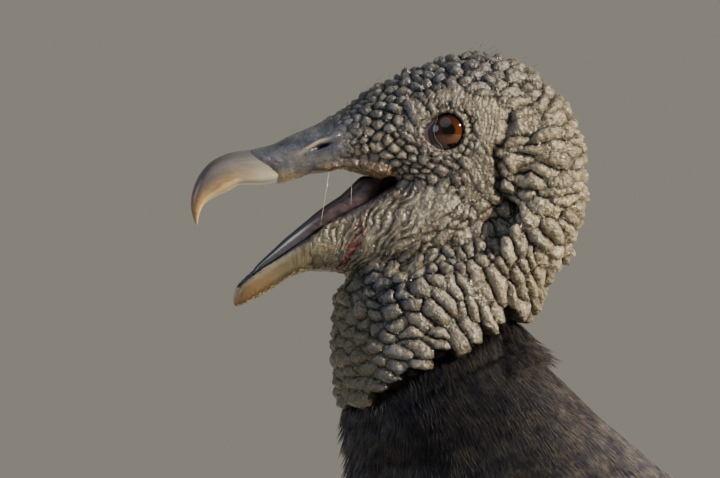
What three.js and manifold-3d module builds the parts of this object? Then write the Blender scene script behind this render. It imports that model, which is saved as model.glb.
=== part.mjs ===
// Black vulture (Coragyps atratus), a life-size standing model in millimetres.
// +Z is up, the bird faces -X and its left side is -Y. The bill is open and the neck is drawn in.
// Every fleshy or feathered part is a loft of closed rings: a station names the ring's two points on
// the side outline and its half width across the bird. Neighbours are parted by a thin cut, CUT wide.
import * as THREE from "three";
import { mergeVertices } from "three/addons/utils/BufferGeometryUtils.js";
import Module from "manifold-3d";

const wasm = await Module();
wasm.setup();

// ---- driving dimensions, mm -------------------------------------------------------------------
const CUT = 0.3; // gap between neighbouring parts
const BODY_CUT = 0.6; // the same round the trunk, whose rings lie aslant
const EYE_LEVEL = 400; // height of the head's level line above the floor
const EYE_RADIUS = 7.2;
const EYE_OUT = 10.9; // eye centre from the mid-plane
const EYE_X = -2.4; // eye centre ahead of the head's zero line
const ORBIT_RIM = 5.6; // radius of the round opening that the eye looks out of
const LEG_OUT = 35; // leg centre line from the mid-plane
const LEG_X = 31; // how far the legs stand behind the head's zero line
const STRIDE = 9; // left foot this far forward, right foot this far back
const FEATHER_THICKNESS = 1.6;
const FOLD_HEIGHT = 0.9; // depth of the neck's skin folds

// ---- finishes ---------------------------------------------------------------------------------
const finish = (color, roughness, metalness = 0) =>
  new THREE.MeshStandardMaterial({ color, roughness, metalness });
const headSkin = finish("#6f6a5f", 0.75);
const neckSkin = finish("#7d776a", 0.8);
const mouthSkin = finish("#5a4a55", 0.45);
const horn = finish("#a8977c", 0.4);
const eyeGlass = finish("#5a2c10", 0.08);
const plumage = finish("#1d1a18", 0.85);
const flightFeather = finish("#1a1817", 0.65);
const legSkin = finish("#8f8b82", 0.8);
const clawHorn = finish("#2b2724", 0.4);

// ---- solids -----------------------------------------------------------------------------------
function solidOf(geometry) {
  const bare = geometry.clone();
  bare.deleteAttribute("normal");
  bare.deleteAttribute("uv");
  const merged = mergeVertices(bare, 1e-4);
  return new wasm.Manifold(
    new wasm.Mesh({
      numProp: 3,
      vertProperties: new Float32Array(merged.attributes.position.array),
      triVerts: new Uint32Array(merged.index.array),
    }),
  );
}

function geometryOf(solid) {
  const mesh = solid.getMesh();
  const positions = new Float32Array(mesh.numVert * 3);
  for (let i = 0; i < mesh.numVert; i++)
    positions.set(mesh.vertProperties.subarray(i * mesh.numProp, i * mesh.numProp + 3), i * 3);
  return new THREE.BufferGeometry()
    .setAttribute("position", new THREE.BufferAttribute(positions, 3))
    .setIndex(new THREE.BufferAttribute(mesh.triVerts, 1));
}

const joined = (solids) => solids.reduce((a, b) => a.add(b));
// What is left of a solid after its cutters, without the slivers that they may part from it.
function without(solid, cutters) {
  const left = cutters.reduce((a, b) => a.subtract(b), solid);
  return left.decompose().reduce((a, b) => (a.volume() > b.volume() ? a : b));
}
const mirrored = (solid) => solid.mirror([0, 1, 0]);

// A station: the ring's top and bottom points [x, z] on the side outline, its half width, the y of its
// middle, how far its top leans in, how square it is (2 is an ellipse) and where between bottom and
// top it is widest.
const station = (top, bottom, half, more = {}) => ({
  top, bottom, half, y: 0, lean: 0, square: 2.2, widest: 0.5, ...more,
});

const KEYS = ["half", "y", "lean", "square", "widest"];
const blendOf = (stations, t, read) => {
  const last = stations.length - 1;
  const i = Math.min(Math.floor(t), last - 1);
  const f = t - i;
  const [a, b, c, d] = [i - 1, i, i + 1, i + 2].map((k) =>
    read(stations[Math.min(Math.max(k, 0), last)]),
  );
  return (
    b + 0.5 * f * (c - a + f * (2 * a - 5 * b + 4 * c - d + f * (3 * (b - c) + d - a)))
  );
};

// Stations on a smooth curve through the given ones, `perSpan` to each span.
function smoothed(stations, perSpan) {
  const made = [];
  const spans = stations.length - 1;
  for (let n = 0; n <= spans * perSpan; n++) {
    const t = n / perSpan;
    const s = {
      top: [0, 1].map((k) => blendOf(stations, t, (q) => q.top[k])),
      bottom: [0, 1].map((k) => blendOf(stations, t, (q) => q.bottom[k])),
    };
    for (const key of KEYS) s[key] = blendOf(stations, t, (q) => q[key]);
    made.push(s);
  }
  return made;
}

// The closed solid through the stations' rings. grow moves its whole surface outwards.
function loft(stations, { sides = 16, perSpan = 1, grow = 0 } = {}) {
  const rows = smoothed(stations, perSpan);
  const middle = (s) => new THREE.Vector3(
    THREE.MathUtils.lerp(s.bottom[0], s.top[0], s.widest), s.y,
    THREE.MathUtils.lerp(s.bottom[1], s.top[1], s.widest),
  );
  const centres = rows.map(middle);
  const endShift = (a, b) => centres[a].clone().sub(centres[b]).setLength(grow);
  const shifts = rows.map(() => new THREE.Vector3());
  shifts[0] = endShift(0, 1);
  shifts[rows.length - 1] = endShift(rows.length - 1, rows.length - 2);
  const positions = [];
  rows.forEach((s, r) => {
    const centre = centres[r].clone().add(shifts[r]);
    const up = new THREE.Vector3(s.top[0], s.y, s.top[1]).sub(centres[r]);
    const down = new THREE.Vector3(s.bottom[0], s.y, s.bottom[1]).sub(centres[r]);
    up.setLength(Math.max(up.length() + grow, 0.05));
    down.setLength(Math.max(down.length() + grow, 0.05));
    const power = 2 / s.square;
    for (let k = 0; k < sides; k++) {
      const angle = (2 * Math.PI * k) / sides;
      const [c, sn] = [Math.cos(angle), Math.sin(angle)];
      const across = Math.sign(c) * Math.abs(c) ** power * (s.half + grow);
      const rise = Math.abs(sn) ** power;
      const p = centre.clone().addScaledVector(sn >= 0 ? up : down, rise);
      positions.push(p.x, p.y + across - s.lean * Math.sign(sn) * rise, p.z);
    }
  });
  const poles = [0, rows.length - 1].map((r) => {
    const c = centres[r].clone().add(shifts[r]);
    positions.push(c.x, c.y, c.z);
    return positions.length / 3 - 1;
  });
  const index = [];
  const at = (r, k) => r * sides + (k % sides);
  for (let k = 0; k < sides; k++) {
    for (let r = 0; r + 1 < rows.length; r++)
      index.push(at(r, k), at(r, k + 1), at(r + 1, k), at(r + 1, k), at(r, k + 1), at(r + 1, k + 1));
    index.push(poles[0], at(0, k + 1), at(0, k));
    index.push(poles[1], at(rows.length - 1, k), at(rows.length - 1, k + 1));
  }
  const build = (faces) => {
    const g = new THREE.BufferGeometry();
    g.setAttribute("position", new THREE.Float32BufferAttribute(positions, 3));
    g.setIndex(faces);
    return solidOf(g);
  };
  const made = build(index);
  return made.volume() > 0 ? made : build(index.reverse());
}

// A flat feather vane: root at the origin, shaft along +X, vane in the XZ plane, centred on y 0.
function vane(length, width, grow = 0) {
  const [l, w] = [length + grow, width / 2 + grow];
  const edge = [[-grow, w * 0.4], [l * 0.4, w * 0.9], [l * 0.86, w], [l, w * 0.4]];
  const otherEdge = edge.map(([x, y]) => [x, -y]).reverse();
  const shape = new THREE.Shape([...edge, ...otherEdge].map((p) => new THREE.Vector2(...p)));
  const thick = FEATHER_THICKNESS + 2 * grow;
  const g = new THREE.ExtrudeGeometry(shape, { depth: thick, bevelEnabled: false });
  g.rotateX(Math.PI / 2); // the drawn plane becomes XZ
  g.translate(0, thick / 2, 0);
  return g;
}

// Puts a geometry's +X along `along` and its +Y as near as can be to `facing`, at the point `from`.
function placed(geometry, from, along, facing) {
  const x = new THREE.Vector3(...along).normalize();
  const z = new THREE.Vector3().crossVectors(x, new THREE.Vector3(...facing)).normalize();
  const y = new THREE.Vector3().crossVectors(z, x);
  const turn = new THREE.Matrix4().makeBasis(x, y, z).setPosition(...from);
  return solidOf(geometry.clone().applyMatrix4(turn));
}

// ---- head -------------------------------------------------------------------------------------
// Points here are measured from a line across the head at the eyes' level; eyeLevel lifts them to their
// height above the floor.
const eyeLevel = ([x, z]) => [x, z + EYE_LEVEL];
const headStation = (top, bottom, half, more) =>
  station(eyeLevel(top), eyeLevel(bottom), half, more);

const CRANIUM = [
  headStation([-41, -0.8], [-39.6, -11.6], 5.7, { widest: 0.35 }),
  headStation([-33.8, 2.4], [-32.6, -10], 7.4, { widest: 0.35 }),
  headStation([-26.4, 7.4], [-25.4, -9.4], 10.4, { widest: 0.4 }),
  headStation([-18.2, 12.8], [-18, -13.6], 14, { widest: 0.45 }),
  headStation([-9, 16.6], [-8, -25], 17, { widest: 0.55 }),
  headStation([0, 19.6], [0, -32.5], 18.6, { widest: 0.62, square: 2.4 }),
  headStation([8.5, 21.1], [8, -34], 19.6, { widest: 0.55 }),
  headStation([17, 19], [16, -32], 20, { widest: 0.5 }),
  headStation([24, 14], [22, -28], 18, { widest: 0.5 }),
  headStation([29, 5], [27, -20], 13, { widest: 0.5 }),
];
const CERE = [
  headStation([-49.4, -4.8], [-45.8, -13.8], 5),
  headStation([-44.4, -2], [-42.8, -13], 5.4),
  headStation([-37, 0.9], [-36, -10.8], 6.6),
];
const HOOK = [
  headStation([-48.2, -4.2], [-44.5, -13.8], 4.9),
  headStation([-56.4, -5.8], [-52, -14.6], 5),
  headStation([-61.2, -6.1], [-57, -14.6], 4.8),
  headStation([-65.8, -8.4], [-60.6, -16.3], 4.2),
  headStation([-69, -12.5], [-63.8, -17.8], 3.4),
  headStation([-70.7, -16.8], [-66.8, -19.4], 2.5),
  headStation([-70.8, -20.4], [-68, -21.8], 1.7),
  headStation([-70.2, -23.6], [-68.8, -24], 0.9),
  headStation([-69.6, -25], [-69.1, -25.1], 0.4),
];
const JAW = [
  headStation([-44.5, -32], [-41.6, -38.7], 5.6),
  headStation([-38.5, -25.8], [-34.6, -38.2], 7.2),
  headStation([-31.6, -21.4], [-27.4, -39], 9.6),
  headStation([-24.5, -17.4], [-19.4, -40], 13),
  headStation([-17.5, -12.6], [-11, -39.5], 16),
  headStation([-7, -8], [0, -37.5], 18),
  headStation([4, -6], [8, -33], 17),
];
const LOWER_HORN = [
  headStation([-41.4, -29.3], [-39.2, -37.8], 5.9),
  headStation([-46.6, -32.8], [-44.5, -39.9], 5.4),
  headStation([-51.9, -36], [-49, -42.9], 5),
  headStation([-55.4, -39], [-53.6, -45.4], 4.4),
  headStation([-58.2, -41.6], [-56.8, -46.8], 3.3),
  headStation([-59, -45.4], [-58.6, -47.3], 1.4),
];
const MOUTH = [
  headStation([-62, -31], [-61, -41], 2, { square: 3 }),
  headStation([-56.6, -26.6], [-55, -41.4], 2.6, { square: 3 }),
  headStation([-48.6, -19.4], [-47.6, -36.4], 3.8, { square: 3 }),
  headStation([-40.6, -11.8], [-39.8, -31], 4.6, { square: 3 }),
  headStation([-32, -8], [-31.6, -25], 6.6, { square: 3 }),
  headStation([-24, -8], [-24, -20.6], 9.2, { square: 3 }),
  headStation([-18, -9.6], [-18, -16.4], 11.5),
  headStation([-10, -12], [-10, -14.6], 6),
];
const TONGUE = [
  headStation([-12, -13.6], [-12, -18], 3.4),
  headStation([-24, -14.8], [-24, -22.4], 6.5),
  headStation([-34.4, -19.8], [-34, -27], 5.2),
  headStation([-44.6, -27.8], [-44, -34.2], 3.6),
  headStation([-52.6, -35.2], [-52, -39.2], 2.4),
  headStation([-54.8, -37.9], [-54.4, -39.7], 1.2),
];

// ---- neck -------------------------------------------------------------------------------------
// Slices down the neck: the first point is on the nape, the second on the throat.
const NECK = [
  headStation([18, 19], [14.6, 17], 6),
  headStation([24.8, 14.2], [13.6, 9.6], 14, { square: 2.5 }),
  headStation([31.4, 7.6], [12.5, 2], 19, { square: 2.7 }),
  headStation([34.4, 0], [11.6, -6], 21.4, { square: 2.8 }),
  headStation([36.6, -9], [11.5, -14], 22.6, { square: 2.8 }),
  headStation([36.6, -18], [12, -22], 23.4, { square: 2.7 }),
  headStation([35.4, -27], [4, -28], 23.8, { square: 2.5 }),
  headStation([32.6, -34], [-10, -33.5], 24, { square: 2.4 }),
  headStation([28.8, -40.5], [-26.5, -38.8], 24, { square: 2.3 }),
  headStation([24.6, -46.5], [-30.4, -45], 24.2, { square: 2.3 }),
  headStation([21, -51], [-31.4, -53], 24.6, { square: 2.3 }),
  headStation([19, -55], [-32, -62], 24.8, { square: 2.3 }),
  headStation([16.8, -60], [-31.4, -70], 24.2),
  headStation([13.5, -66], [-28.4, -76], 22.4),
  headStation([8, -74], [-19, -84], 15),
];

// The neck's rings, pushed out and in by turns as skin folds, the last ones left plain.
function folded(stations) {
  return stations.map((s, n) => {
    const plain = n === 0 || n > stations.length - 3;
    const push = plain ? 0 : (n % 2 ? 1 : -1) * FOLD_HEIGHT * 0.5;
    const along = [s.top[0] - s.bottom[0], s.top[1] - s.bottom[1]];
    const length = Math.hypot(...along);
    const moved = (p, sign) => p.map((v, k) => v + (sign * push * along[k]) / length);
    return { ...s, top: moved(s.top, 1), bottom: moved(s.bottom, -1), half: s.half + push };
  });
}

// ---- trunk ------------------------------------------------------------------------------------
// Slices down the trunk: the first point is on the back, the second on the breast and belly.
const TRUNK = [
  headStation([19.6, -51.4], [-27, -71.6], 23.6),
  headStation([25, -60], [-28.6, -80], 27.5),
  headStation([35, -70.5], [-26, -91], 33.5),
  headStation([52.6, -90], [-29, -114], 45, { square: 2.3 }),
  headStation([88, -121], [-39, -142], 56, { square: 2.4 }),
  headStation([120, -155], [-40, -178], 61, { square: 2.4 }),
  headStation([148, -193], [-18, -214], 58, { square: 2.3 }),
  headStation([168, -226], [26, -240], 48),
  headStation([181, -248], [75, -258], 35),
  headStation([190, -260], [122, -268], 26),
  headStation([202, -272], [160, -281], 19),
  headStation([210, -284], [188, -298], 11),
];

// ---- wings ------------------------------------------------------------------------------------
// The folded arm with its coverts, from the wrist at the breast back along the flank.
const WING = [
  station([-19, 272], [-27, 250], 7, { y: 45, lean: 2 }),
  station([4, 298], [-23, 222], 16, { y: 51, lean: 6 }),
  station([42, 306], [4, 198], 21, { y: 55, lean: 9, square: 2.4 }),
  station([80, 280], [42, 178], 22, { y: 54, lean: 11, square: 2.4 }),
  station([112, 251], [80, 166], 19, { y: 49, lean: 11, square: 2.4 }),
  station([136, 222], [110, 158], 14, { y: 43, lean: 8 }),
  station([148, 202], [132, 162], 7, { y: 38, lean: 4 }),
];
const SECONDARIES = {
  count: 8, length: 128, width: 30, root: [84, 64, 228], dip: 40, inward: 10,
  back: 4, down: 8.5, stepIn: 1.1, shorten: 5, spread: 1.5,
};
const PRIMARIES = {
  count: 6, length: 152, width: 24, root: [112, 47, 196], dip: 31, inward: 10,
  back: 4, down: 4.6, stepIn: 1.1, shorten: 13, spread: 1.2,
};

// Vanes laid like a closed fan: each is further under, further down and turned a little from the last.
function fan(feathers, grow = 0) {
  const { count, length, width, root, back, down, stepIn, shorten, spread } = feathers;
  const [dip, inward] = [feathers.dip, feathers.inward].map(THREE.MathUtils.degToRad);
  const along = [Math.cos(dip) * Math.cos(inward), -Math.sin(inward), -Math.sin(dip) * Math.cos(inward)];
  const outward = [Math.sin(inward), Math.cos(inward), 0];
  const vanes = [];
  for (let n = 0; n < count; n++) {
    const blade = vane(length - n * shorten, width, grow);
    blade.rotateY(THREE.MathUtils.degToRad(n * spread));
    blade.translate(-n * back, -n * stepIn, -n * down);
    vanes.push(placed(blade, root, along, outward));
  }
  return joined(vanes);
}

// ---- tail -------------------------------------------------------------------------------------
const TAIL = {
  pairs: 6, length: 166, width: 25, root: [128, 0, 170], dip: 39, turn: 1.5, gap: 3.6, under: 1.2,
};

// Rectrices in pairs: the middle pair on top, each outer pair a step below and turned out a little.
function tail(grow = 0) {
  const dip = THREE.MathUtils.degToRad(TAIL.dip);
  const along = [Math.cos(dip), 0, -Math.sin(dip)];
  const upward = [Math.sin(dip), 0, Math.cos(dip)];
  const vanes = [];
  for (let n = 0; n < TAIL.pairs; n++) {
    for (const side of [-1, 1]) {
      const blade = vane(TAIL.length - n * 1.6, TAIL.width, grow);
      blade.rotateY(THREE.MathUtils.degToRad((n + 0.5) * TAIL.turn * side));
      blade.translate(0, -(n + (side > 0 ? 0.5 : 0)) * TAIL.under, -(n + 0.5) * TAIL.gap * side);
      vanes.push(placed(blade, TAIL.root, along, upward));
    }
  }
  return joined(vanes);
}

// ---- legs -------------------------------------------------------------------------------------
// Side outlines of the feathered shank and the bare one; x is from the leg's own line.
const THIGH = [
  station([62, 214], [-6, 226], 26),
  station([62, 178], [0, 186], 23),
  station([56, 142], [12, 148], 16),
  station([50, 118], [24, 120], 10.5),
  station([46, 103], [30, 103], 7.6),
];
const SHANK = [
  station([45, 108], [31, 108], 5.6),
  station([47, 95], [32, 97], 6.6),
  station([41, 82], [30.4, 84], 4.8),
  station([35, 56], [25.4, 57], 4.4),
  station([30, 30], [20.6, 31], 4.5),
  station([30, 15], [16, 16], 6.2),
  station([31, 6], [13, 6.4], 8.2),
  station([29, -0.4], [15, -0.4], 6),
];
const HUB_X = 21; // the foot's middle, from the leg's own line
// Toes: turn from straight ahead in degrees (positive outward), length, thickness and joint pads.
const TOES = [
  { name: "hallux", turn: 168, length: 25, thick: 7.6, pads: 2, claw: 12 },
  { name: "inner", turn: -30, length: 42, thick: 8.4, pads: 2, claw: 14 },
  { name: "middle", turn: 2, length: 66, thick: 9, pads: 3, claw: 14 },
  { name: "outer", turn: 31, length: 47, thick: 8, pads: 3, claw: 12 },
];
const TOE_START = 5; // toes start this far from the foot's middle

function toeStations({ length, thick, pads }) {
  const rows = [];
  const count = pads * 2 + 1;
  for (let n = 0; n <= count; n++) {
    const t = n / count;
    const swell = n % 2 ? 1 : 0.84; // joints are thicker than the bones between
    const size = thick * (1 - 0.28 * t) * swell;
    const x = -(TOE_START + t * (length - TOE_START));
    const sole = n % 2 ? -0.5 : 0.7;
    rows.push(station([x, sole + size], [x, sole], size * 0.52, { square: 2.4 }));
  }
  return rows;
}

function clawStations({ length, thick, claw }) {
  const base = thick * 0.66;
  return [0, 0.3, 0.6, 0.85, 1].map((t) => {
    const size = base * (1 - 0.86 * t);
    const middle = 3.9 + 1.6 * Math.sin(Math.PI * t) - 3.1 * t * t;
    const x = -(length - 3 + t * (claw + 3));
    return station([x, middle + size / 2], [x, middle - size / 2], size * 0.42);
  });
}

const floorBlock = solidOf(new THREE.BoxGeometry(900, 900, 40).translate(0, 0, -20));

// One leg's shapes. Toes are drawn straight ahead of the foot's middle, then turned and moved there.
function leg(side, toSide) {
  const shift = LEG_X + (side === "left" ? -STRIDE : STRIDE);
  const onLeg = (stations, grow) =>
    toSide(loft(stations, { sides: 10, grow }).translate([shift, LEG_OUT, 0]));
  const onFoot = (stations, turn, sides, grow) =>
    toSide(loft(stations, { sides, grow }).rotate([0, 0, turn]).translate([shift + HUB_X, LEG_OUT, 0]));
  const toes = TOES.map((toe) => ({
    name: toe.name,
    shape: (grow) => onFoot(toeStations(toe), toe.turn, 8, grow),
    claw: onFoot(clawStations(toe), toe.turn, 5, 0),
  }));
  return { thigh: (grow) => onLeg(THIGH, grow), shank: (grow) => onLeg(SHANK, grow), toes };
}

// ---- assembly ---------------------------------------------------------------------------------
const bird = new THREE.Group();
function add(name, solid, material) {
  const mesh = new THREE.Mesh(geometryOf(solid), material);
  mesh.name = name;
  bird.add(mesh);
}

const atEye = (geometry, side) =>
  solidOf(geometry.rotateX(side < 0 ? Math.PI : 0).translate(EYE_X, side * EYE_OUT, EYE_LEVEL));
const eyeBall = (side) => atEye(new THREE.SphereGeometry(EYE_RADIUS, 12, 8), side);

// The hollow the eye sits in: as wide as the eyeball behind, closing to the orbit's rim in front.
function orbit(side) {
  const wide = EYE_RADIUS + CUT;
  const profile = [[0, -wide], [wide, -wide], [wide, 0], [ORBIT_RIM, wide * 1.4], [0, wide * 1.4]];
  return atEye(new THREE.LatheGeometry(profile.map((p) => new THREE.Vector2(...p)), 12), side);
}
const cranium = (grow) => loft(CRANIUM, { grow });
const neck = (grow) => loft(folded(NECK), { sides: 20, grow });
const trunk = (grow) => loft(TRUNK, { sides: 20, grow });
const mouth = (grow) => loft(MOUTH, { sides: 12, grow });
const hook = (grow) => loft(HOOK, { sides: 12, grow });
const cere = (grow) => loft(CERE, { sides: 14, grow });
const lowerHorn = (grow) => loft(LOWER_HORN, { sides: 12, grow });
const jaw = (grow) => loft(JAW, { sides: 12, grow });

add("head", without(cranium(0), [mouth(0), neck(CUT), cere(CUT), orbit(-1), orbit(1)]), headSkin);
add("cere", without(cere(0), [mouth(0), hook(CUT)]), headSkin);
add("bill_hook", without(hook(0), [mouth(0)]), horn);
add("jaw", without(jaw(0), [mouth(0), cranium(CUT), neck(CUT), lowerHorn(CUT)]), headSkin);
add("bill_lower", without(lowerHorn(0), [mouth(0)]), horn);
const mouthFloor = joined([jaw(CUT), lowerHorn(CUT)]).subtract(mouth(-CUT));
const mouthRoof = cranium(CUT).subtract(mouth(-CUT));
add("tongue", without(loft(TONGUE, { sides: 8 }), [mouthFloor, mouthRoof]), mouthSkin);
add("eye_left", eyeBall(-1), eyeGlass);
add("eye_right", eyeBall(1), eyeGlass);
add("neck", neck(0), neckSkin);
add("trunk", without(trunk(0), [neck(CUT)]), plumage);
add("tail", without(tail(), [trunk(BODY_CUT)]), flightFeather);

for (const side of ["left", "right"]) {
  const toSide = side === "left" ? mirrored : (solid) => solid;
  const wing = (grow) => toSide(loft(WING, { grow }));
  const secondaries = (grow) => toSide(fan(SECONDARIES, grow));
  const primaries = (grow) => toSide(fan(PRIMARIES, grow));
  const body = [trunk(BODY_CUT), tail(CUT)];
  add(`wing_${side}`, without(wing(0), body), plumage);
  body.push(wing(CUT));
  add(`secondaries_${side}`, without(secondaries(0), body), flightFeather);
  body.push(secondaries(CUT));
  add(`primaries_${side}`, without(primaries(0), body), flightFeather);
  body.push(primaries(CUT));

  const { thigh, shank, toes } = leg(side, toSide);
  add(`thigh_${side}`, without(thigh(0), body), plumage);
  add(`shank_${side}`, without(shank(0), [thigh(CUT), floorBlock]), legSkin);
  const taken = [shank(CUT), floorBlock];
  for (const toe of toes) {
    add(`toe_${toe.name}_${side}`, without(toe.shape(0), taken), legSkin);
    add(`claw_${toe.name}_${side}`, without(toe.claw, [toe.shape(CUT), floorBlock]), clawHorn);
    taken.push(toe.shape(CUT));
  }
}

// The origin is on the floor, under the middle of the bird's bounding box.
const box = new THREE.Box3().setFromObject(bird);
bird.position.set(-(box.min.x + box.max.x) / 2, -(box.min.y + box.max.y) / 2, -box.min.z);
bird.updateMatrixWorld(true);

export default bird;
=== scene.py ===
# %% [markdown]
# # A black vulture, dressed for a museum case
# The solids give every part its real size and place. This lesson puts the looks on them: one bare,
# wrinkled skin, two eyes, a horn bill, claws, and a coat of feathers made of thin mesh vanes. All
# lengths are in metres, and most numbers are written in millimetres times MM.

# %% Load the frame
from functools import partial
from math import atan2, copysign, cos, degrees, hypot, pi, radians, sin, sqrt
import bmesh
import bpy
import numpy as np
from mathutils import Matrix, Vector
from mathutils.bvhtree import BVHTree
from mathutils.kdtree import KDTree


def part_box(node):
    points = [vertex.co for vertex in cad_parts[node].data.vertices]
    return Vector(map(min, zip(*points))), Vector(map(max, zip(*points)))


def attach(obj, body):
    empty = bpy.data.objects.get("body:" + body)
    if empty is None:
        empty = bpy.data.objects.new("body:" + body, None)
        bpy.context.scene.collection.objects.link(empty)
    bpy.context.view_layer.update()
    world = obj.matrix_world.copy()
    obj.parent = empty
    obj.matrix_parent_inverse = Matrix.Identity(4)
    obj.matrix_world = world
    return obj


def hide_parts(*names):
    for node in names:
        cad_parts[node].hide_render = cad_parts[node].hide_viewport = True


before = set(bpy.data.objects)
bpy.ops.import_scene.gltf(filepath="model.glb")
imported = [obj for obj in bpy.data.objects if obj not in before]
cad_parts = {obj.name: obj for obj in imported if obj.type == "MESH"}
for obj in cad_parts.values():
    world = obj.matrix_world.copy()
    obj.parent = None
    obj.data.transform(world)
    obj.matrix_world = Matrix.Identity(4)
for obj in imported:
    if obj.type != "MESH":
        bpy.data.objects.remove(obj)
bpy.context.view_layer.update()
MM = 0.001
SIDES = {"left": -1.0, "right": 1.0}

# %% [markdown]
# ## Where things are
# The eye is the landmark that everything on the head is measured from, as a sculptor does. Its node
# gives the place, so the numbers below stay true if the bird is moved. Face coordinates are in
# millimetres: x backwards from the eye, y sideways from the middle of the head, z upwards.

# %% Face coordinates
eye_low, eye_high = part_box("eye_left")
EYE = (eye_low + eye_high) / 2
EYE_RADIUS = (eye_high.x - eye_low.x) / 2
FACE_ORIGIN = np.array([EYE.x, 0.0, EYE.z])


def to_face(points):
    """Metres in the frame to face millimetres."""
    return (np.asarray(points) - FACE_ORIGIN) / MM


def from_face(x, y, z):
    """Face millimetres to a point in metres in the frame."""
    return Vector(FACE_ORIGIN) + Vector((x, y, z)) * MM


def smoothstep(low, high, value):
    t = np.clip((np.asarray(value, dtype=float) - low) / (high - low), 0.0, 1.0)
    return t * t * (3.0 - 2.0 * t)


def unit(vectors):
    return vectors / (np.linalg.norm(vectors, axis=-1, keepdims=True) + 1e-12)


print("eye at", [round(c, 4) for c in EYE], "radius", round(EYE_RADIUS, 4))

# %% [markdown]
# ## Camera
# The view is almost a profile from the bird's left, 13 degrees towards its face and 3 degrees above
# level, through a very long lens, which keeps the bill and the nape at one scale. A shorter lens
# would swell what is near. The aim point is set from the eye, so it moves with the head.

# %% Camera
VIEW_AZIMUTH = radians(-13)
VIEW_ELEVATION = radians(3)
CAMERA_DISTANCE = 3.0
SENSOR_WIDTH = 36.0  # millimetres, a full-size sensor
FRAME_WIDTH = 194.6 * MM  # what fills the frame from side to side at the bird
AIM_LEFT = 23.9 * MM
AIM_DOWN = 29.3 * MM

towards = Vector((
    -sin(VIEW_AZIMUTH) * cos(VIEW_ELEVATION),
    cos(VIEW_AZIMUTH) * cos(VIEW_ELEVATION),
    -sin(VIEW_ELEVATION),
))
camera_right = towards.cross(Vector((0, 0, 1))).normalized()
camera_up = camera_right.cross(towards)
camera = bpy.data.objects.new("camera", bpy.data.cameras.new("camera"))
bpy.context.scene.collection.objects.link(camera)
bpy.context.scene.camera = camera
camera.location = EYE - camera_right * AIM_LEFT - camera_up * AIM_DOWN - towards * CAMERA_DISTANCE
camera.rotation_euler = towards.to_track_quat("-Z", "Y").to_euler()
camera.data.sensor_width = SENSOR_WIDTH
camera.data.lens = SENSOR_WIDTH * CAMERA_DISTANCE / FRAME_WIDTH
camera.data.clip_start = 0.1
camera.data.clip_end = 50.0
print("lens", round(camera.data.lens), "mm")

# %% [markdown]
# ## Light
# One warm soft key comes from beside the bird's shoulder and gives the folds their relief. A wide
# pale sky panel above the camera keeps the shadows open and puts the sky's reflection in the upper
# half of the eye, and a weak one ahead fills the throat. The grey world is the plain backdrop. Round
# area lights are used because their reflection in the eye is round, as the sun's is.

# %% Light
def linear(hex_colour):
    """An sRGB hex colour as linear red, green, blue and alpha."""
    raw = [int(hex_colour[i:i + 2], 16) / 255 for i in (1, 3, 5)]
    return [c / 12.92 if c <= 0.04045 else ((c + 0.055) / 1.055) ** 2.4 for c in raw] + [1.0]


def from_view(right, up, back):
    """A point so many metres right of, above and nearer to the camera than the eye."""
    return EYE + camera_right * right + camera_up * up - towards * back


def area_light(name, place, size, power, colour):
    data = bpy.data.lights.new(name, "AREA")
    data.shape = "DISK"
    data.size = size
    data.energy = power
    data.color = linear(colour)[:3]
    light = bpy.data.objects.new(name, data)
    bpy.context.scene.collection.objects.link(light)
    light.location = place
    light.rotation_euler = (EYE - Vector(place)).to_track_quat("-Z", "Y").to_euler()
    light.visible_camera = False
    return light


area_light("key", from_view(2.0, 0.95, 0.8), 0.16, 150.0, "#ffeed6")
area_light("sky panel", from_view(-0.6, 1.6, 1.5), 2.4, 17.0, "#c6d8f8")
area_light("front fill", from_view(-1.9, 0.3, 0.7), 1.0, 10.5, "#a9bfe8")

world = bpy.data.worlds.new("grey studio")
bpy.context.scene.world = world
world.use_nodes = True
world.node_tree.nodes["Background"].inputs["Color"].default_value = linear("#88847a")
world.node_tree.nodes["Background"].inputs["Strength"].default_value = 1.0

# %% [markdown]
# ## From points to pieces
# A bmesh is the workbench: shapes are made and changed in it, and then written to a mesh, which an
# object shows. These helpers do that, read and move all of a mesh's points as one array, and keep a
# number for each point, which the materials read by its name.

# %% Mesh helpers
def object_from(form, name):
    """Turns a bmesh into an object at the origin."""
    mesh = bpy.data.meshes.new(name)
    form.to_mesh(mesh)
    form.free()
    made = bpy.data.objects.new(name, mesh)
    bpy.context.scene.collection.objects.link(made)
    return made


def apply_modifiers(made):
    """Bakes an object's modifiers into its mesh."""
    evaluated = made.evaluated_get(bpy.context.evaluated_depsgraph_get())
    mesh = bpy.data.meshes.new_from_object(evaluated)
    made.modifiers.clear()
    old = made.data
    made.data = mesh
    mesh.name = made.name
    bpy.data.meshes.remove(old)


def points_of(made):
    values = np.empty(len(made.data.vertices) * 3)
    made.data.vertices.foreach_get("co", values)
    return values.reshape(-1, 3)


def normals_of(made):
    values = np.empty(len(made.data.vertices) * 3)
    made.data.vertex_normals.foreach_get("vector", values)
    return values.reshape(-1, 3)


def move_points(made, points):
    made.data.vertices.foreach_set("co", points.ravel())
    made.data.update()


def store(made, name, values):
    """Keeps a number or a vector for each point, for the materials to read."""
    values = np.asarray(values, dtype=np.float32)
    if values.ndim == 1:
        made.data.attributes.new(name, "FLOAT", "POINT").data.foreach_set("value", values)
    else:
        layer = made.data.attributes.new(name, "FLOAT_VECTOR", "POINT")
        layer.data.foreach_set("vector", values.ravel())


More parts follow.
